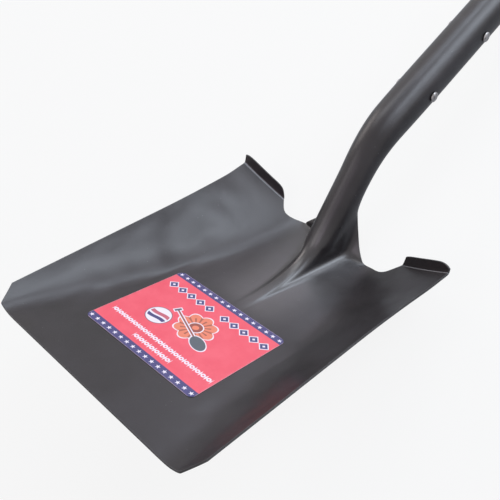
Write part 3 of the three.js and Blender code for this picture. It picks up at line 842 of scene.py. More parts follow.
@dataclass
class Head:
    """The blade pressing: pan, steps, frog and socket, pressed from one sheet of steel.

    Its rear edge is trimmed a little differently on each side, so scallops and steps hold three numbers:
    the place across, and the depth or height there on the right and on the left. A pair of numbers sets
    how strong the painted highlight, a pale line laid along the fold, is on the right and on the left. The
    cut-off mouth corner starts at the third column from the rim, which is creased there.
    """

    pan: Pan = field(default_factory=Pan)
    socket: Socket = field(default_factory=Socket)
    thickness: float = 0.0017
    neck_foot_x: float = 0.039
    neck_foot_setback: float = 0.0075
    neck_foot_lead_left: float = 0.001
    neck_depth: float = 0.0359
    frog_tip_half: float = 0.009
    frog_length: float = 0.131
    frog_toe_reach: float = 0.072
    frog_neck_reach: float = 0.016
    frog_spread_power: float = 2.6
    frog_steepening_power: float = 3.0
    crown_share: float = 0.64
    crown_down_share: float = 0.45
    foot_flare_share: float = 0.6
    leg_drop_share: float = 0.85
    leg_flare_share: float = 0.85
    leg_trim_power: float = 1.5
    leg_trim_length: float = 0.034
    leg_trim_lag_left: float = 0.009
    leg_trim_share: float = 0.46
    closing_start: float = 0.018
    closing_length: float = 0.050
    step_inner_x: float = 0.0735
    step_skew_share: float = 0.27
    step_bend_radius: float = 0.0022
    step_height: float = 0.0098
    step_turn: float = math.radians(91)
    step_end_slant: float = 0.0025
    scallop_depth: float = 0.008
    scallops: tuple[Point, ...] = (
        (0.2, 0.1, 0.12), (0.4, 0.46, 0.52), (0.56, 0.88, 0.8),
        (0.7, 1, 0.92), (0.8, 0.86, 0.8), (0.9, 0.42, 0.42),
    )
    steps: tuple[Point, ...] = (
        (0, 0.92, 0.35), (0.06, 1, 1), (0.25, 1, 1), (0.42, 1, 1), (0.6, 0.99, 1),
        (0.74, 0.95, 1), (0.8134, 0.88, 0.98), (0.93, 0.6, 0.94), (1, 0.22, 0.72),
    )
    mouth_rows: int = 7
    frog_rows: int = 13
    crown_columns: int = 5
    leg_columns: int = 7
    steep_rows: int = 12
    bend_rows: int = 6
    upper_rows: int = 5
    step_rows: int = 3
    fineness: int = 2
    rounding: float = 0.00035
    # how strong the fold's painted highlight is, on the right and on the left
    fold_highlight_strength: tuple[float, float] = (0.66, 1.0)
    corner_crease: float = 0.5
    wave_depth: float = 0.0012
    wave_length: float = 0.030
    wave_across: tuple[tuple[float, float], ...] = ((0.068, 0.088), (0.108, 0.12))
    wave_along: tuple[tuple[float, float], ...] = ((0.02, 0.07), (0.24, 0.285))

    def __post_init__(self) -> None:
        """Work out where the neck is and start the socket there."""
        steep = self.socket.steep_angle
        self.foot_y = self.pan.length - self.neck_foot_setback
        self.foot_z = self.pan.face_z(self.neck_foot_x, self.foot_y)
        self.foot_y_left = self.pan.length + self.neck_foot_lead_left
        self.tip_y = self.foot_y - self.frog_length
        self.crest_y = self.foot_y - self.neck_depth * math.sin(steep)
        self.crest_z = self.foot_z + self.neck_depth * math.cos(steep)
        start_y = self.crest_y + self.socket.neck_radius * math.sin(steep)
        start_z = self.crest_z - self.socket.neck_radius * math.cos(steep)
        self.socket.start = (start_y, start_z)
        self.pan_rows = self.mouth_rows + self.frog_rows
        self.frog_columns = self.crown_columns + self.leg_columns
        self.half_columns = self.frog_columns + len(self.scallops) + len(self.steps)
        self.corner_column = self.half_columns - 2

    def crest(self, share: float) -> tuple[float, float]:
        """Return the y and z of the frog's crest, from its tip to the neck."""
        steep = self.socket.steep_angle
        tip_z = self.pan.face_z(0.0, self.tip_y)
        handle_y = self.crest_y - self.frog_neck_reach * math.cos(steep)
        handle_z = self.crest_z - self.frog_neck_reach * math.sin(steep)
        y = cubic(share, self.tip_y, self.tip_y + self.frog_toe_reach, handle_y, self.crest_y)
        return y, cubic(share, tip_z, tip_z, handle_z, self.crest_z)

    def bell(self, share: float, foot_x: float) -> tuple[float, float]:
        """Return a point of the frog's bell section: distance across and share of the way down."""
        across = foot_x * cubic(share, 0.0, self.crown_share, 1 - self.foot_flare_share, 1.0)
        return across, cubic(share, 0.0, 0.0, 1.0, 1.0)

    def leg(
        self, share: float, radius: float, foot_x: float, depth: float, trim: float
    ) -> tuple[float, float]:
        """Work out a point of the neck's open section.

        Args:
            share: place from the crest, 0, to the foot, 1.
            radius: radius of the round crown.
            foot_x: distance of the foot from the middle.
            depth: depth of the foot below the crest.
            trim: share of the leg that is kept.

        Returns:
            The distance across and the distance down.
        """
        if share <= 0.5:
            return radius * math.sin(math.pi * share), radius * (1 - math.cos(math.pi * share))
        along = (2 * share - 1) * trim
        flare_x = lerp(foot_x, radius, self.leg_flare_share)
        drop = lerp(radius, depth, self.leg_drop_share)
        return cubic(along, radius, radius, flare_x, foot_x), cubic(along, radius, drop, depth, depth)

    def tube(self, share: float, radius: float) -> tuple[float, float]:
        """Return a point of the closed round section, with its seam behind."""
        turn = math.pi * share - self.socket.seam_gap / (2 * radius) * max(0.0, 2 * share - 1)
        return radius * math.sin(turn), radius * (1 - math.cos(turn))

    def frog_point(self, share: float, frog_share: float, foot: Point, top: tuple[float, float]) -> Point:
        """Find a point on the frog.

        Args:
            share: place from its crest, 0, to its foot, 1.
            frog_share: place from its tip, 0, to the neck, 1.
            foot: the foot's point on the pan.
            top: y and z of the crest.

        Returns:
            The point in the tool's frame.
        """
        depth = math.hypot(foot[1] - top[0], foot[2] - top[1])
        bell_x, down = self.bell(share, foot[0])
        steep = frog_share**self.frog_steepening_power
        if steep > 0:
            radius = min(self.socket.neck_radius, self.crown_down_share * depth)
            leg_x, leg_down = self.leg(share, radius, foot[0], depth, 1.0)
            bell_x, down = lerp(bell_x, leg_x, steep), lerp(down, leg_down / depth, steep)
        return bell_x, lerp(top[0], foot[1], down), lerp(top[1], foot[2], down)

    def socket_point(self, share: float, distance: float, is_left: bool) -> Point:
        """Find a point on the socket.

        Args:
            share: place round it from its crest, 0, to its seam, 1.
            distance: length along its middle line from the neck.
            is_left: whether the point is for the left side.

        Returns:
            The point in the tool's frame, drawn to +X.
        """
        y, z, angle = self.socket.axis(distance)
        radius = self.socket.outer_radius(distance)
        lag = self.leg_trim_lag_left if is_left else 0.0
        along = max(0.0, distance - lag) / (self.leg_trim_length - lag)
        trimmed = 1 - max(0.0, 1 - along) ** self.leg_trim_power
        trim = 1 - self.leg_trim_share * trimmed
        open_x, open_down = self.leg(share, radius, self.neck_foot_x, self.neck_depth, trim)
        round_x, round_down = self.tube(share, radius)
        closed = smoothstep(distance, self.closing_start, self.closing_start + self.closing_length)
        out = radius - lerp(open_down, round_down, closed)
        return lerp(open_x, round_x, closed), y - out * math.sin(angle), z + out * math.cos(angle)

    def step_point(self, fold: Point, row: int, across: float, height: float) -> Point:
        """Find a point on a step, which bends up at its fold.

        Args:
            fold: point where the bend starts.
            row: 1 and 2 in the bend, 3 at the top edge.
            across: place along the step.
            height: share of the step's full height.

        Returns:
            The point in the tool's frame.
        """
        bend = self.step_bend_radius
        climb = self.pan.face_z(fold[0], fold[1]) - self.pan.face_z(fold[0], fold[1] - bend)
        pitch = math.atan2(climb, bend)
        angle = lerp(pitch, self.step_turn, min(1.0, row / 2))
        rise = self.step_height * height if row > 2 else 0.0
        return (
            fold[0] + self.step_end_slant * (1 - across) ** 2 * row / self.step_rows,
            fold[1] + bend * (math.sin(angle) - math.sin(pitch)) + rise * math.cos(self.step_turn),
            fold[2] + bend * (math.cos(pitch) - math.cos(angle)) + rise * math.sin(self.step_turn),
        )

    def row_distance(self, row: int) -> float:
        """Return the distance of a socket row from the neck."""
        if row <= self.steep_rows:
            return self.socket.steep_length * row / self.steep_rows
        beyond = row - self.steep_rows
        if beyond <= self.bend_rows:
            return self.socket.steep_length + self.socket.bend_length * beyond / self.bend_rows
        upper = self.socket.upper_length * (beyond - self.bend_rows) / self.upper_rows
        return self.socket.steep_length + self.socket.bend_length + upper

    def middle_point(
        self, column: int, row: int, is_left: bool, frog_share: float, foot_x: float, foot_y: float
    ) -> Point:
        """Find a cage point from the middle line to the frog's foot or the socket's seam.

        Args:
            column: column from the middle out.
            row: row from the mouth on.
            is_left: whether the point is for the left half.
            frog_share: place from the frog's tip, 0, to the neck, 1.
            foot_x: distance of the foot from the middle.
            foot_y: distance of the foot from the mouth.

        Returns:
            The point, drawn to +X.
        """
        leg_share = max(0, column - self.crown_columns) / self.leg_columns
        across = (min(1.0, column / self.crown_columns) + leg_share) / 2
        if row > self.pan_rows:
            return self.socket_point(across, self.row_distance(row - self.pan_rows), is_left)
        foot = (foot_x, foot_y, self.pan.face_z(foot_x, foot_y))
        top = self.crest(frog_share) if frog_share > 0 else (foot_y, self.pan.face_z(0.0, foot_y))
        return self.frog_point(across, frog_share, foot, top)

    def scallop_point(
        self, index: int, is_left: bool, row_share: float, foot_x: float, last_foot_y: float
    ) -> Point:
        """Find a cage point on the pan between the frog's foot and the step.

        Args:
            index: which of the scallops' columns.
            is_left: whether the point is for the left half.
            row_share: place from the mouth, 0, to the rear edge, 1.
            foot_x: distance of the foot from the middle in this row.
            last_foot_y: distance of the rear edge from the mouth at the foot.

        Returns:
            The point, drawn to +X.
        """
        across, *depths = self.scallops[index]
        x = lerp(foot_x, self.step_inner_x, across)
        back = lerp(last_foot_y, self.pan.length, across) - self.scallop_depth * depths[is_left]
        y = row_share * back
        return x, y, self.pan.face_z(x, y)

    def wall_point(self, index: int, row: int, is_left: bool, row_share: float) -> Point:
        """Find a cage point on the side wall or the step behind it.

        Args:
            index: which of the steps' columns.
            row: row from the mouth on.
            is_left: whether the point is for the left half.
            row_share: place from the mouth, 0, to the fold, 1.

        Returns:
            The point, drawn to +X.
        """
        across, *heights = self.steps[index]
        front_x = lerp(self.step_inner_x, self.pan.width / 2, across)
        fold_x = lerp(self.step_inner_x, self.pan.rim_x(self.pan.length), across)
        fold_y = self.pan.length - self.step_skew_share * (fold_x - self.step_inner_x)
        y = lerp(self.pan.mouth_y(front_x), fold_y, row_share)
        x = lerp(self.step_inner_x, self.pan.rim_x(y), across)
        point = (x, y, self.pan.face_z(x, y))
        if row > self.pan_rows:
            return self.step_point(point, row - self.pan_rows, across, heights[is_left])
        return point

    def half_point(self, column: int, row: int, is_left: bool) -> Optional[Point]:
        """Find a cage point of one half.

        Args:
            column: column from the middle out.
            row: row from the mouth on.
            is_left: whether the point is for the left half.

        Returns:
            The point, drawn to +X, or None where the sheet has ended.
        """
        pan_row = min(row, self.pan_rows)
        frog_share = max(0, pan_row - self.mouth_rows) / self.frog_rows
        last_foot_y = self.foot_y_left if is_left else self.foot_y
        foot_y = lerp(self.tip_y, last_foot_y, frog_share)
        if pan_row < self.mouth_rows:
            foot_y = self.tip_y * pan_row / self.mouth_rows
        foot_x = lerp(self.frog_tip_half, self.neck_foot_x, frog_share**self.frog_spread_power)
        row_share = foot_y / last_foot_y
        scallop = column - self.frog_columns - 1
        step = scallop - len(self.scallops)
        if scallop < 0:
            return self.middle_point(column, row, is_left, frog_share, foot_x, foot_y)
        if row > self.pan_rows + (self.step_rows if step >= 0 else 0):
            return None
        if step < 0:
            return self.scallop_point(scallop, is_left, row_share, foot_x, last_foot_y)
        return self.wall_point(step, row, is_left, row_share)

    def polish(self, column: int, row: int) -> float:
        """Return how much the load has polished the sheet there: most on the frog and round its foot."""
        first, last = self.mouth_rows, self.pan_rows
        across = 1 - smoothstep(column, self.frog_columns, self.frog_columns + 3)
        return across * plateau(row, (first - 1, first + 2), (last - 1, last + 5))

    def cage(self) -> bmesh.types.BMesh:
        """Build the face of the sheet as a coarse cage in the tool's frame."""
        columns = 2 * self.half_columns
        rows = self.pan_rows + self.steep_rows + self.bend_rows + self.upper_rows
        mesh = bmesh.new()
        bmesh.ops.create_grid(mesh, x_segments=columns, y_segments=rows, size=0.5)
        ended = []
        first_step = self.frog_columns + len(self.scallops) + 1
        polish = mesh.verts.layers.float.new("polish")
        fold = mesh.verts.layers.float.new("fold")
        crease = mesh.verts.layers.float.new("crease_vert")
        for vert in mesh.verts:
            column = round((vert.co.x + 0.5) * columns) - self.half_columns
            row = round((vert.co.y + 0.5) * rows)
            out, is_left = abs(column), column < 0
            vert[polish] = self.polish(out, row)
            if row == 0 and out == self.corner_column:
                vert[crease] = self.corner_crease
            # the fold row carries the strength of the highlight that the material paints there
            if row == self.pan_rows + 1 and out >= first_step:
                vert[fold] = self.fold_highlight_strength[is_left]
            point = self.half_point(out, row, is_left)
            if point is None:
                ended.append(vert)
            else:
                vert.co = (math.copysign(point[0], column), point[1], point[2])
        bmesh.ops.delete(mesh, geom=ended, context="VERTS")
        bmesh.ops.recalc_face_normals(mesh, faces=mesh.faces)
        on_floor = Vector((0, self.pan.length / 3, 0))
        nearest = min(mesh.faces, key=lambda face: (face.calc_center_median() - on_floor).length)
        if nearest.normal.z < 0:
            bmesh.ops.reverse_faces(mesh, faces=mesh.faces)
        return mesh

    def build(self, place: Matrix, material: bpy.types.Material) -> bpy.types.Object:
        """Build the pressing.

        Args:
            place: the tool's frame.
            material: its finish.

        Returns:
            The finished piece.
        """
        rough = settle("head_cage", self.cage(), Matrix())
        smooth = rough.modifiers.new("smooth", "SUBSURF")
        smooth.levels = smooth.render_levels = self.fineness
        smooth.boundary_smooth = "PRESERVE_CORNERS"
        sheet = applied(rough)
        self.wave(sheet)
        made = settle("blade_sheet", sheet, place)
        self.mark_edge(made.data)
        wall = made.modifiers.new("wall", "SOLIDIFY")
        wall.thickness = self.thickness
        wall.offset = -1.0
        wall.use_quality_normals = True
        soften(made, self.rounding, angle=60.0)
        present(made, material, Slot.BLACK, "blade_pressing")
        return made

    def wave(self, sheet: bmesh.types.BMesh) -> None:
        """Press the shallow waves that pressing leaves in sheet into the side walls."""
        for vert in sheet.verts:
            across = plateau(abs(vert.co.x), *self.wave_across)
            along = plateau(vert.co.y, *self.wave_along)
            vert.co.z += self.wave_depth * across * along * noise.noise(vert.co / self.wave_length)

    @staticmethod
    def mark_edge(data: bpy.types.Mesh) -> None:
        """Store at each point its distance from the sheet's cut edge."""
        used: dict[tuple[int, int], int] = {}
        for polygon in data.polygons:
            for key in polygon.edge_keys:
                used[key] = used.get(key, 0) + 1
        border = {index for key, count in used.items() if count == 1 for index in key}
        tree = KDTree(len(border))
        for index in border:
            tree.insert(data.vertices[index].co, index)
        tree.balance()
        marks = data.attributes.new("edge_distance", "FLOAT", "POINT")
        for vertex in data.vertices:
            _, _, distance = tree.find(vertex.co)
            marks.data[vertex.index].value = distance


@dataclass
class Label:
    """The printed label on the flat floor of the pan."""

    width: float = 0.1276
    length: float = 0.109
    thickness: float = 0.0004
    corner_radius: float = 0.005
    centre_x: float = -0.0024
    centre_y: float = 0.1057
    seat: float = 0.00008
    rounding: float = 0.0001
    turn: float = math.radians(1.6)

    def build(self, place: Matrix) -> bpy.types.Object:
        """Build the label in the tool's frame and return it."""
        spot = place @ Matrix.Translation((self.centre_x, self.centre_y, self.seat))
        spot = spot @ Matrix.Rotation(self.turn, 4, "Z")
        mesh = bmesh.new()
        bmesh.ops.create_grid(mesh, x_segments=1, y_segments=1, size=0.5)
        bmesh.ops.scale(mesh, vec=(self.width, self.length, 1.0), verts=mesh.verts)
        bmesh.ops.bevel(
            mesh,
            geom=mesh.verts,
            offset=self.corner_radius,
            segments=8,
            profile=0.5,
            affect="VERTICES",
            material=-1,
        )
        lifted = bmesh.ops.extrude_face_region(mesh, geom=mesh.faces[:])["geom"]
        top = [item for item in lifted if isinstance(item, bmesh.types.BMVert)]
        bmesh.ops.translate(mesh, vec=(0, 0, self.thickness), verts=top)
        bmesh.ops.recalc_face_normals(mesh, faces=mesh.faces)
        made = settle("label_film", mesh, spot)
        soften(made, self.rounding)
        present(made, LabelPrint(spot, self.width, self.length).make(), Slot.PRINT, "label")
        return made


# Rivets


@dataclass
class Rivet:
    """A through rivet with a domed head on each end, drawn along Y."""

    grip: float
    shank: float = 0.0032
    head: float = 0.0062
    rise: float = 0.0026
    seat: float = 0.0003
    rounding: float = 0.0002
    dome: tuple[tuple[float, float], ...] = (
        (1, 0), (1, 0.22), (0.97, 0.42), (0.9, 0.6), (0.78, 0.76),
        (0.6, 0.89), (0.38, 0.97), (0.18, 1), (0, 1),
    )

    def build(self, place: Matrix, material: bpy.types.Material, node: str) -> bpy.types.Object:
        """Build the rivet.

        Args:
            place: its frame.
            material: its finish.
            node: the CAD node that it stands for.

        Returns:
            The finished piece.
        """
        base = self.grip / 2 + self.seat
        upper = [(self.shank, base)] + [(self.head * x, base + self.rise * up) for x, up in self.dome]
        lower = [(radius, -height) for radius, height in reversed(upper)]
        made = settle(node + "_steel", turned(lower + upper, steps=32), place)
        soften(made, self.rounding)
        present(made, material, Slot.BRIGHT, node)
        return made


# Handle


@dataclass
class Handle:
    """What follows the shaft: +Y along it from the socket's mouth, +X across, +Z to the face side.

    The socket's bore is taken as a ring of flats, as the solids have it, so that the shaft clears it.
    """

    socket_radius: float = 0.0195
    socket_wall: float = 0.0017
    socket_sides: int = 10
    shaft_radius: float = 0.0182
    shaft_shoulder: float = 0.0012
    shaft_length: float = 0.310
    shaft_nose_length: float = 0.025
    shaft_nose_radius: float = 0.012
    shaft_in_socket: float = 0.176
    shaft_top_recess: float = 0.014
    yoke_wall: float = 0.0016
    ferrule_length: float = 0.074
    ferrule_flare: float = 0.010
    arm_radius: float = 0.009
    arm_spread: float = 0.0565
    arm_root_x: float = 0.007
    arm_root_depth: float = 0.016
    arm_reach: float = 0.105
    arm_shoulder: float = 0.034
    eye_radius: float = 0.0144
    eye_width: float = 0.017
    eye_round: float = 0.0015
    grip_radius: float = 0.0154
    grip_end_radius: float = 0.0128
    grip_end_round: float = 0.0008
    grip_steps: int = 32
    groove_step: int = 3
    groove_depth: float = 0.0005
    pin_radius: float = 0.0045
    pin_head: float = 0.008
    pin_rise: float = 0.0024
    split_gap: float = 0.0003
    fit_gap: float = 0.0003
    rivet_spacing: float = 0.087
    rivet_setback: float = 0.063
    yoke_rivet_spacing: float = 0.040
    yoke_rivet_setback: float = 0.017
    arm_rivet_reach: float = 0.062
    socket_rivet_head: float = 0.0050
    socket_rivet_rise: float = 0.0021
    shaft_rounding: float = 0.0006
    yoke_rounding: float = 0.0003
    grip_rounding: float = 0.0003
    weld_size: float = 0.0009

    def __post_init__(self) -> None:
        """Work out the places along the handle."""
        self.ferrule_end = self.shaft_length + self.ferrule_length
        self.grip_y = self.ferrule_end + self.arm_reach
        self.ferrule_outer = self.shaft_radius + self.fit_gap + self.yoke_wall
        self.grip_half = self.arm_spread - self.eye_width / 2 - self.fit_gap

    def build_shaft(self, place: Matrix) -> bpy.types.Object:
        """Build the wooden shaft in the handle's frame and return it."""
        flats = math.cos(math.pi / self.socket_sides)
        inner = (self.socket_radius - self.socket_wall) * flats - self.fit_gap
        top = self.ferrule_end - self.shaft_top_recess
        profile = [
            (0.0, -self.shaft_in_socket),
            (self.shaft_nose_radius, -self.shaft_in_socket),
            (inner, self.shaft_nose_length - self.shaft_in_socket),
            (inner, self.fit_gap),
            (self.shaft_radius - self.shaft_shoulder / 2, self.fit_gap),
            (self.shaft_radius, self.fit_gap + self.shaft_shoulder),
            (self.shaft_radius, top - self.shaft_shoulder),
            (self.shaft_radius - self.shaft_shoulder, top),
            (0.0, top),
        ]
        made = settle("ash_shaft", turned(profile, steps=96), place)
        soften(made, self.shaft_rounding, angle=25.0)
        present(made, AshWood("ash_shaft", place, (1.0, 0.06, 1.0)).make(), Slot.WOOD, "shaft")
        return made

    def arm_path(self, side: float, steps: int = 28) -> list[Vector]:
        """Return the middle line of an arm, from inside the ferrule to the eye."""
        shoulder_y = self.ferrule_end + self.arm_shoulder + self.arm_spread / 2
        path = []
        for step in range(steps + 1):
            share = step / steps
            x = cubic(share, self.arm_root_x, self.arm_root_x, self.arm_spread, self.arm_spread)
            root_y = self.ferrule_end - self.arm_root_depth
            y = cubic(share, root_y, self.ferrule_end + self.arm_shoulder, self.ferrule_end, shoulder_y)
            path.append(Vector((side * x, y, 0.0)))
        return path + [Vector((side * self.arm_spread, self.grip_y, 0.0))]

    def arm(self, side: float) -> bmesh.types.BMesh:
        """Build one arm as a swept bar, by extruding a ring along its middle line."""
        path = self.arm_path(side)
        mesh = bmesh.new()
        ring = bmesh.ops.create_circle(mesh, cap_ends=True, segments=28, radius=self.arm_radius)["verts"]
        before = Matrix()
        for here, after in zip(path, path[1:] + [path[-1] * 2 - path[-2]]):
            turn = (after - here).to_track_quat("Z", "X").to_matrix().to_4x4()
            frame_here = Matrix.Translation(here) @ turn
            if here is not path[0]:
                touching = dict.fromkeys(edge for vert in ring for edge in vert.link_edges)
                edges = [edge for edge in touching if all(vert in ring for vert in edge.verts)]
                pushed = bmesh.ops.extrude_edge_only(mesh, edges=edges)["geom"]
                ring = [item for item in pushed if isinstance(item, bmesh.types.BMVert)]
            bmesh.ops.transform(mesh, matrix=frame_here @ before.inverted(), verts=ring)
            before = frame_here
        bmesh.ops.contextual_create(mesh, geom=ring)
        bmesh.ops.recalc_face_normals(mesh, faces=mesh.faces)
        return mesh

    def yoke_form(self) -> bmesh.types.BMesh:
        """Build the D top in one, with its ferrule, arms and eyes run together."""
        outer, flare = self.ferrule_outer, self.ferrule_end - self.ferrule_flare
        ferrule = [
            (0.0, self.shaft_length),
            (outer, self.shaft_length),
            (outer, flare),
            (self.arm_root_x + self.arm_radius, self.ferrule_end),
            (0.0, self.ferrule_end),
        ]
        parts = [turned(ferrule, steps=64), self.arm(-1.0), self.arm(1.0)]
        half = self.eye_width / 2
        rim = self.eye_radius - self.eye_round
        eye = [(0.0, -half), (rim, -half), (self.eye_radius, -half + self.eye_round)]
        for side in (-1.0, 1.0):
            disc = turned(eye + [(radius, -height) for radius, height in reversed(eye)], steps=48)
            spot = Matrix.Translation((side * self.arm_spread, self.grip_y, 0)) @ ACROSS
            bmesh.ops.transform(disc, matrix=spot, verts=disc.verts)
            parts.append(disc)
        whole = bmesh.new()
        for part in parts:
            data = bpy.data.meshes.new("yoke_part")
            part.to_mesh(data)
            part.free()
            whole.from_mesh(data)
            bpy.data.meshes.remove(data)
        rough = settle("yoke_rough", whole, Matrix())
        weld = rough.modifiers.new("weld", "REMESH")
        weld.mode = "VOXEL"
        weld.voxel_size = self.weld_size
        ease = rough.modifiers.new("ease", "SMOOTH")
        ease.factor = 0.5
        ease.iterations = 5
        return applied(rough)

    def build_yoke(self, place: Matrix, material: bpy.types.Material) -> list[bpy.types.Object]:
        """Build the two pressed halves of the D top.

        Args:
            place: the handle's frame.
            material: their finish.

        Returns:
            The front and the back half.
        """
        form = self.yoke_form()
        halves = []
        for node, side in (("yoke_front", 1.0), ("yoke_back", -1.0)):
            half = form.copy()
            cut = bmesh.ops.bisect_plane(
                half,
                geom=half.verts[:] + half.edges[:] + half.faces[:],
                plane_co=(0, 0, side * self.split_gap / 2),
                plane_no=(0, 0, side),
                clear_inner=True,
            )["geom_cut"]
            loops = [item for item in cut if isinstance(item, bmesh.types.BMEdge)]
            bmesh.ops.holes_fill(half, edges=loops, sides=0)
            bmesh.ops.recalc_face_normals(half, faces=half.faces)
            made = settle(node + "_shell", half, place)
            soften(made, self.yoke_rounding, 1, 70.0)
            present(made, material, Slot.BLACK, node)
            halves.append(made)
        form.free()
        return halves

    def build_grip(self, place: Matrix) -> bpy.types.Object:
        """Build the turned wooden cross grip in the handle's frame and return it."""
        face = self.grip_end_radius - self.grip_end_round
        profile = [(0.0, -self.grip_half), (face, -self.grip_half)]
        for step in range(self.grip_steps + 1):
            share = 2 * step / self.grip_steps - 1
            from_end = min(step, self.grip_steps - step)
            groove = self.groove_depth if from_end == self.groove_step else 0.0
            setback = self.grip_end_round if from_end == 0 else 0.0
            radius = lerp(self.grip_radius, self.grip_end_radius, share**2) - groove
            profile.append((radius, share * (self.grip_half - setback)))
        profile += [(face, self.grip_half), (0.0, self.grip_half)]
        spot = place @ Matrix.Translation((0, self.grip_y, 0)) @ ACROSS
        made = settle("ash_grip", turned(profile, steps=64), spot)
        soften(made, self.grip_rounding, angle=30.0)
        present(made, AshWood("ash_grip", spot, (1.0, 0.08, 1.0)).make(), Slot.WOOD, "cross_grip")
        return made

    def build_rivets(self, place: Matrix, material: bpy.types.Material) -> None:
        """Build the socket's rivets, the pin and the yoke's rivets.

        Args:
            place: the handle's frame.
            material: their finish.
        """
        socket = Rivet(2 * self.socket_radius, head=self.socket_rivet_head, rise=self.socket_rivet_rise)
        ferrule = Rivet(2 * self.ferrule_outer)
        arm = Rivet(2 * self.arm_radius)
        pin = Rivet(2 * self.arm_spread + self.eye_width, self.pin_radius, self.pin_head, self.pin_rise)
        first = self.shaft_length + self.yoke_rivet_setback
        arm_y = self.ferrule_end + self.arm_rivet_reach
        for node, rivet, turn, x, y in (
            ("socket_rivet_lower", socket, ACROSS, 0.0, -self.rivet_setback - self.rivet_spacing),
            ("socket_rivet_upper", socket, ACROSS, 0.0, -self.rivet_setback),
            ("grip_pin", pin, ACROSS, 0.0, self.grip_y),
            ("yoke_rivet_lower", ferrule, THROUGH, 0.0, first),
            ("yoke_rivet_upper", ferrule, THROUGH, 0.0, first + self.yoke_rivet_spacing),
            ("arm_rivet_left", arm, THROUGH, -self.arm_spread, arm_y),
            ("arm_rivet_right", arm, THROUGH, self.arm_spread, arm_y),
        ):
            rivet.build(place @ Matrix.Translation((x, y, 0)) @ turn, material, node)


# Setting

WHITE = (1.0, 1.0, 1.0, 1.0)


@dataclass
class PhotoCamera:
    """The camera, given in the tool's frame."""

    focal: float = 710.79
    picture: float = 500.0
    sensor: float = 36.0
    azimuth: float = math.radians(39.47)
    elevation: float = math.radians(30.85)
    roll: float = math.radians(-9.59)
    offset: Point = (-0.12451, 0.09591, 0.51933)

    def build(self, tool: Matrix) -> None:
        """Place the scene's camera.

        Args:
            tool: the tool's frame.
        """
        level = math.cos(self.elevation)
        flat = (math.sin(self.azimuth) * level, -math.cos(self.azimuth) * level)
        back = Vector((*flat, math.sin(self.elevation)))
        right = (-back).cross(Vector((0, 0, 1))).normalized()
        down = (-back).cross(right)
        across = math.cos(self.roll) * right + math.sin(self.roll) * down
        under = math.cos(self.roll) * down - math.sin(self.roll) * right
        spot = -(across * self.offset[0] + under * self.offset[1] - back * self.offset[2])
        axes = Matrix((across, -under, back)).transposed().to_4x4()
        data = bpy.data.cameras.new("camera")
        data.sensor_width = self.sensor
        data.lens = self.focal / self.picture * self.sensor
        data.clip_start = 0.01
        data.clip_end = 50.0
        made = bpy.data.objects.new("camera", data)
        made.matrix_world = tool @ Matrix.Translation(spot) @ axes
        bpy.context.scene.collection.objects.link(made)
        bpy.context.scene.camera = made


@dataclass(frozen=True)
class Lamp:
    """A soft square lamp that hangs round the tool and faces it."""

    name: str
    azimuth: float
    elevation: float
    size: float
    level: float
    colour: Colour = (1.0, 1.0, 1.0)

    def build(self, target: Vector, distance: float) -> None:
        """Hang the lamp.

        Args:
            target: the point that it faces.
            distance: how far it hangs from there.
        """
        turn, lift = math.radians(self.azimuth), math.radians(self.elevation)
        away = Vector((math.sin(turn) * math.cos(lift), math.cos(turn) * math.cos(lift), math.sin(lift)))
        data = bpy.data.lights.new(self.name, "AREA")
        data.shape = "SQUARE"
        data.size = self.size
        data.energy = self.level * math.pi * self.size**2
        data.color = self.colour
        made = bpy.data.objects.new(self.name, data)
        made.location = target + away * distance
        made.rotation_euler = (-away).to_track_quat("-Z", "Y").to_euler()
        bpy.context.scene.collection.objects.link(made)


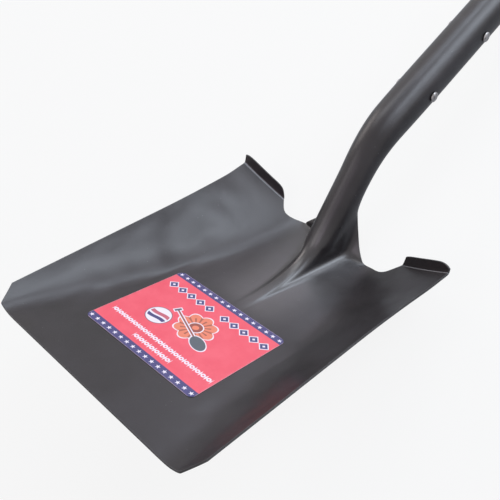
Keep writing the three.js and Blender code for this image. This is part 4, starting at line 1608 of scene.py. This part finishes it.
@dataclass
class Studio:
    """A plain pale floor, soft lamps and a white surround."""

    floor_size: float = 24.0
    floor_colour: Colour = (0.6, 0.6, 0.6)
    floor_seen: float = 0.88
    floor_mirrored: float = 0.1
    lamp_distance: float = 2.4
    lamps: tuple[Lamp, ...] = (
        Lamp("left_window_low", -30, 8, 0.5, 1.15, (1.0, 0.8, 0.95)),
        Lamp("back_left", -18, 18, 0.5, 8.5, (0.76, 0.87, 1.0)),
        Lamp("back_left_high", -18, 41, 0.5, 4.5, (0.76, 0.87, 1.0)),
        Lamp("back_strip_low", -6, 18, 0.5, 1.0, (0.78, 0.88, 1.0)),
        Lamp("back_strip", -6, 29, 0.5, 3.5, (0.78, 0.88, 1.0)),
        Lamp("back_strip_high", -6, 41, 0.5, 6.5, (0.78, 0.88, 1.0)),
        Lamp("back_middle", 6, 29, 0.5, 1.5, (0.95, 0.95, 1.0)),
        Lamp("back_right", 30, 29, 0.5, 10.5, (0.8, 0.9, 1.0)),
        Lamp("back_right_low", 30, 18, 0.5, 6.0, (0.78, 0.89, 1.0)),
        Lamp("back_right_high", 30, 41, 0.5, 6.2, (0.78, 0.89, 1.0)),
        Lamp("right", 50, 27, 1.0, 2.5, (0.78, 0.89, 1.0)),
        Lamp("right_high", 45, 50, 1.0, 2.6, (0.78, 0.89, 1.0)),
        Lamp("back_gap", 18, 29, 0.5, 3.0, (0.78, 0.89, 1.0)),
        Lamp("back_gap_high", 18, 41, 0.5, 7.0, (0.78, 0.89, 1.0)),
        Lamp("left", 284, 27, 1.0, 3.4, (1.0, 0.93, 0.9)),
        Lamp("left_high", 315, 50, 1.0, 3.4, (0.94, 0.98, 1.0)),
        Lamp("front_high", 180, 50, 1.0, 2.6, (0.95, 0.86, 1.0)),
        Lamp("front_left_high", 225, 50, 1.0, 2.2, (1.0, 0.96, 0.98)),
    )
    target: Point = (0.0, -0.33, 0.09)

    def build(self) -> None:
        """Make the floor, the lamps and the surround."""
        self._floor()
        for lamp in self.lamps:
            lamp.build(Vector(self.target), self.lamp_distance)
        self._surround()

    def _floor(self) -> None:
        """Make the pale floor, which keeps the object's shadow."""
        mesh = bmesh.new()
        bmesh.ops.create_grid(mesh, x_segments=8, y_segments=8, size=self.floor_size / 2)
        floor = settle("studio_floor", mesh, Matrix())
        shader = Shader("studio_floor")
        matt = shader.node("ShaderNodeBsdfDiffuse", None, {"Color": (*self.floor_colour, 1.0)})
        glow = shader.node("ShaderNodeEmission", None, {"Color": WHITE, "Strength": 1.0})
        straight, mirrored = shader.rays()
        share = (straight * self.floor_seen).most(mirrored * self.floor_mirrored)
        surface = shader.node("ShaderNodeMixShader", None, [share, matt, glow])
        shader.node("ShaderNodeOutputMaterial", None, {"Surface": surface})
        floor.data.materials.append(shader.material)

    @staticmethod
    def _surround() -> None:
        """Make the world: white where it is seen, and dark where it would light the tool."""
        world = bpy.data.worlds.new("surround")
        world.use_nodes = True
        bpy.context.scene.world = world
        bench = Bench(world.node_tree)
        straight, mirrored = bench.rays()
        dark = bench.node("ShaderNodeBackground", None, [WHITE, 0.0])
        white = bench.node("ShaderNodeBackground", None, [WHITE, 1.0])
        surface = bench.node("ShaderNodeMixShader", None, [straight.most(mirrored), dark, white])
        bench.node("ShaderNodeOutputWorld", None, {"Surface": surface})
        bpy.context.scene.view_settings.view_transform = "Standard"


@dataclass
class Shovel:
    """The whole tool and how it lies."""

    pitch: float = math.radians(-39.99458725286785)
    seat: Point = (0.0, -0.5236649, 0.1768473)
    head: Head = field(default_factory=Head)
    label: Label = field(default_factory=Label)
    handle: Handle = field(default_factory=Handle)

    @property
    def tool_frame(self) -> Matrix:
        """Return the tool's frame as it lies on the floor."""
        return Matrix.Translation(self.seat) @ Matrix.Rotation(self.pitch, 4, "X")

    @property
    def handle_frame(self) -> Matrix:
        """Return the handle's frame as it lies on the floor."""
        y, z, angle = self.head.socket.axis(self.head.socket.length)
        return self.tool_frame @ Matrix.Translation((0, y, z)) @ Matrix.Rotation(angle, 4, "X")

    def build(self) -> None:
        """Build and dress every piece."""
        tool, handle = self.tool_frame, self.handle_frame
        self.head.build(tool, BlackCoat().make(is_head=True))
        self.label.build(tool)
        self.handle.build_shaft(handle)
        self.handle.build_yoke(handle, BlackCoat().make())
        self.handle.build_grip(handle)
        self.handle.build_rivets(handle, BrightSteel().make())


def main() -> None:
    """Build the shovel, the camera and the studio, in that order."""
    logging.basicConfig(level=logging.INFO, format="%(name)s %(message)s")
    shovel = Shovel()
    shovel.build()
    PhotoCamera().build(shovel.tool_frame)
    Studio().build()


if __name__ == "__main__":
    main()
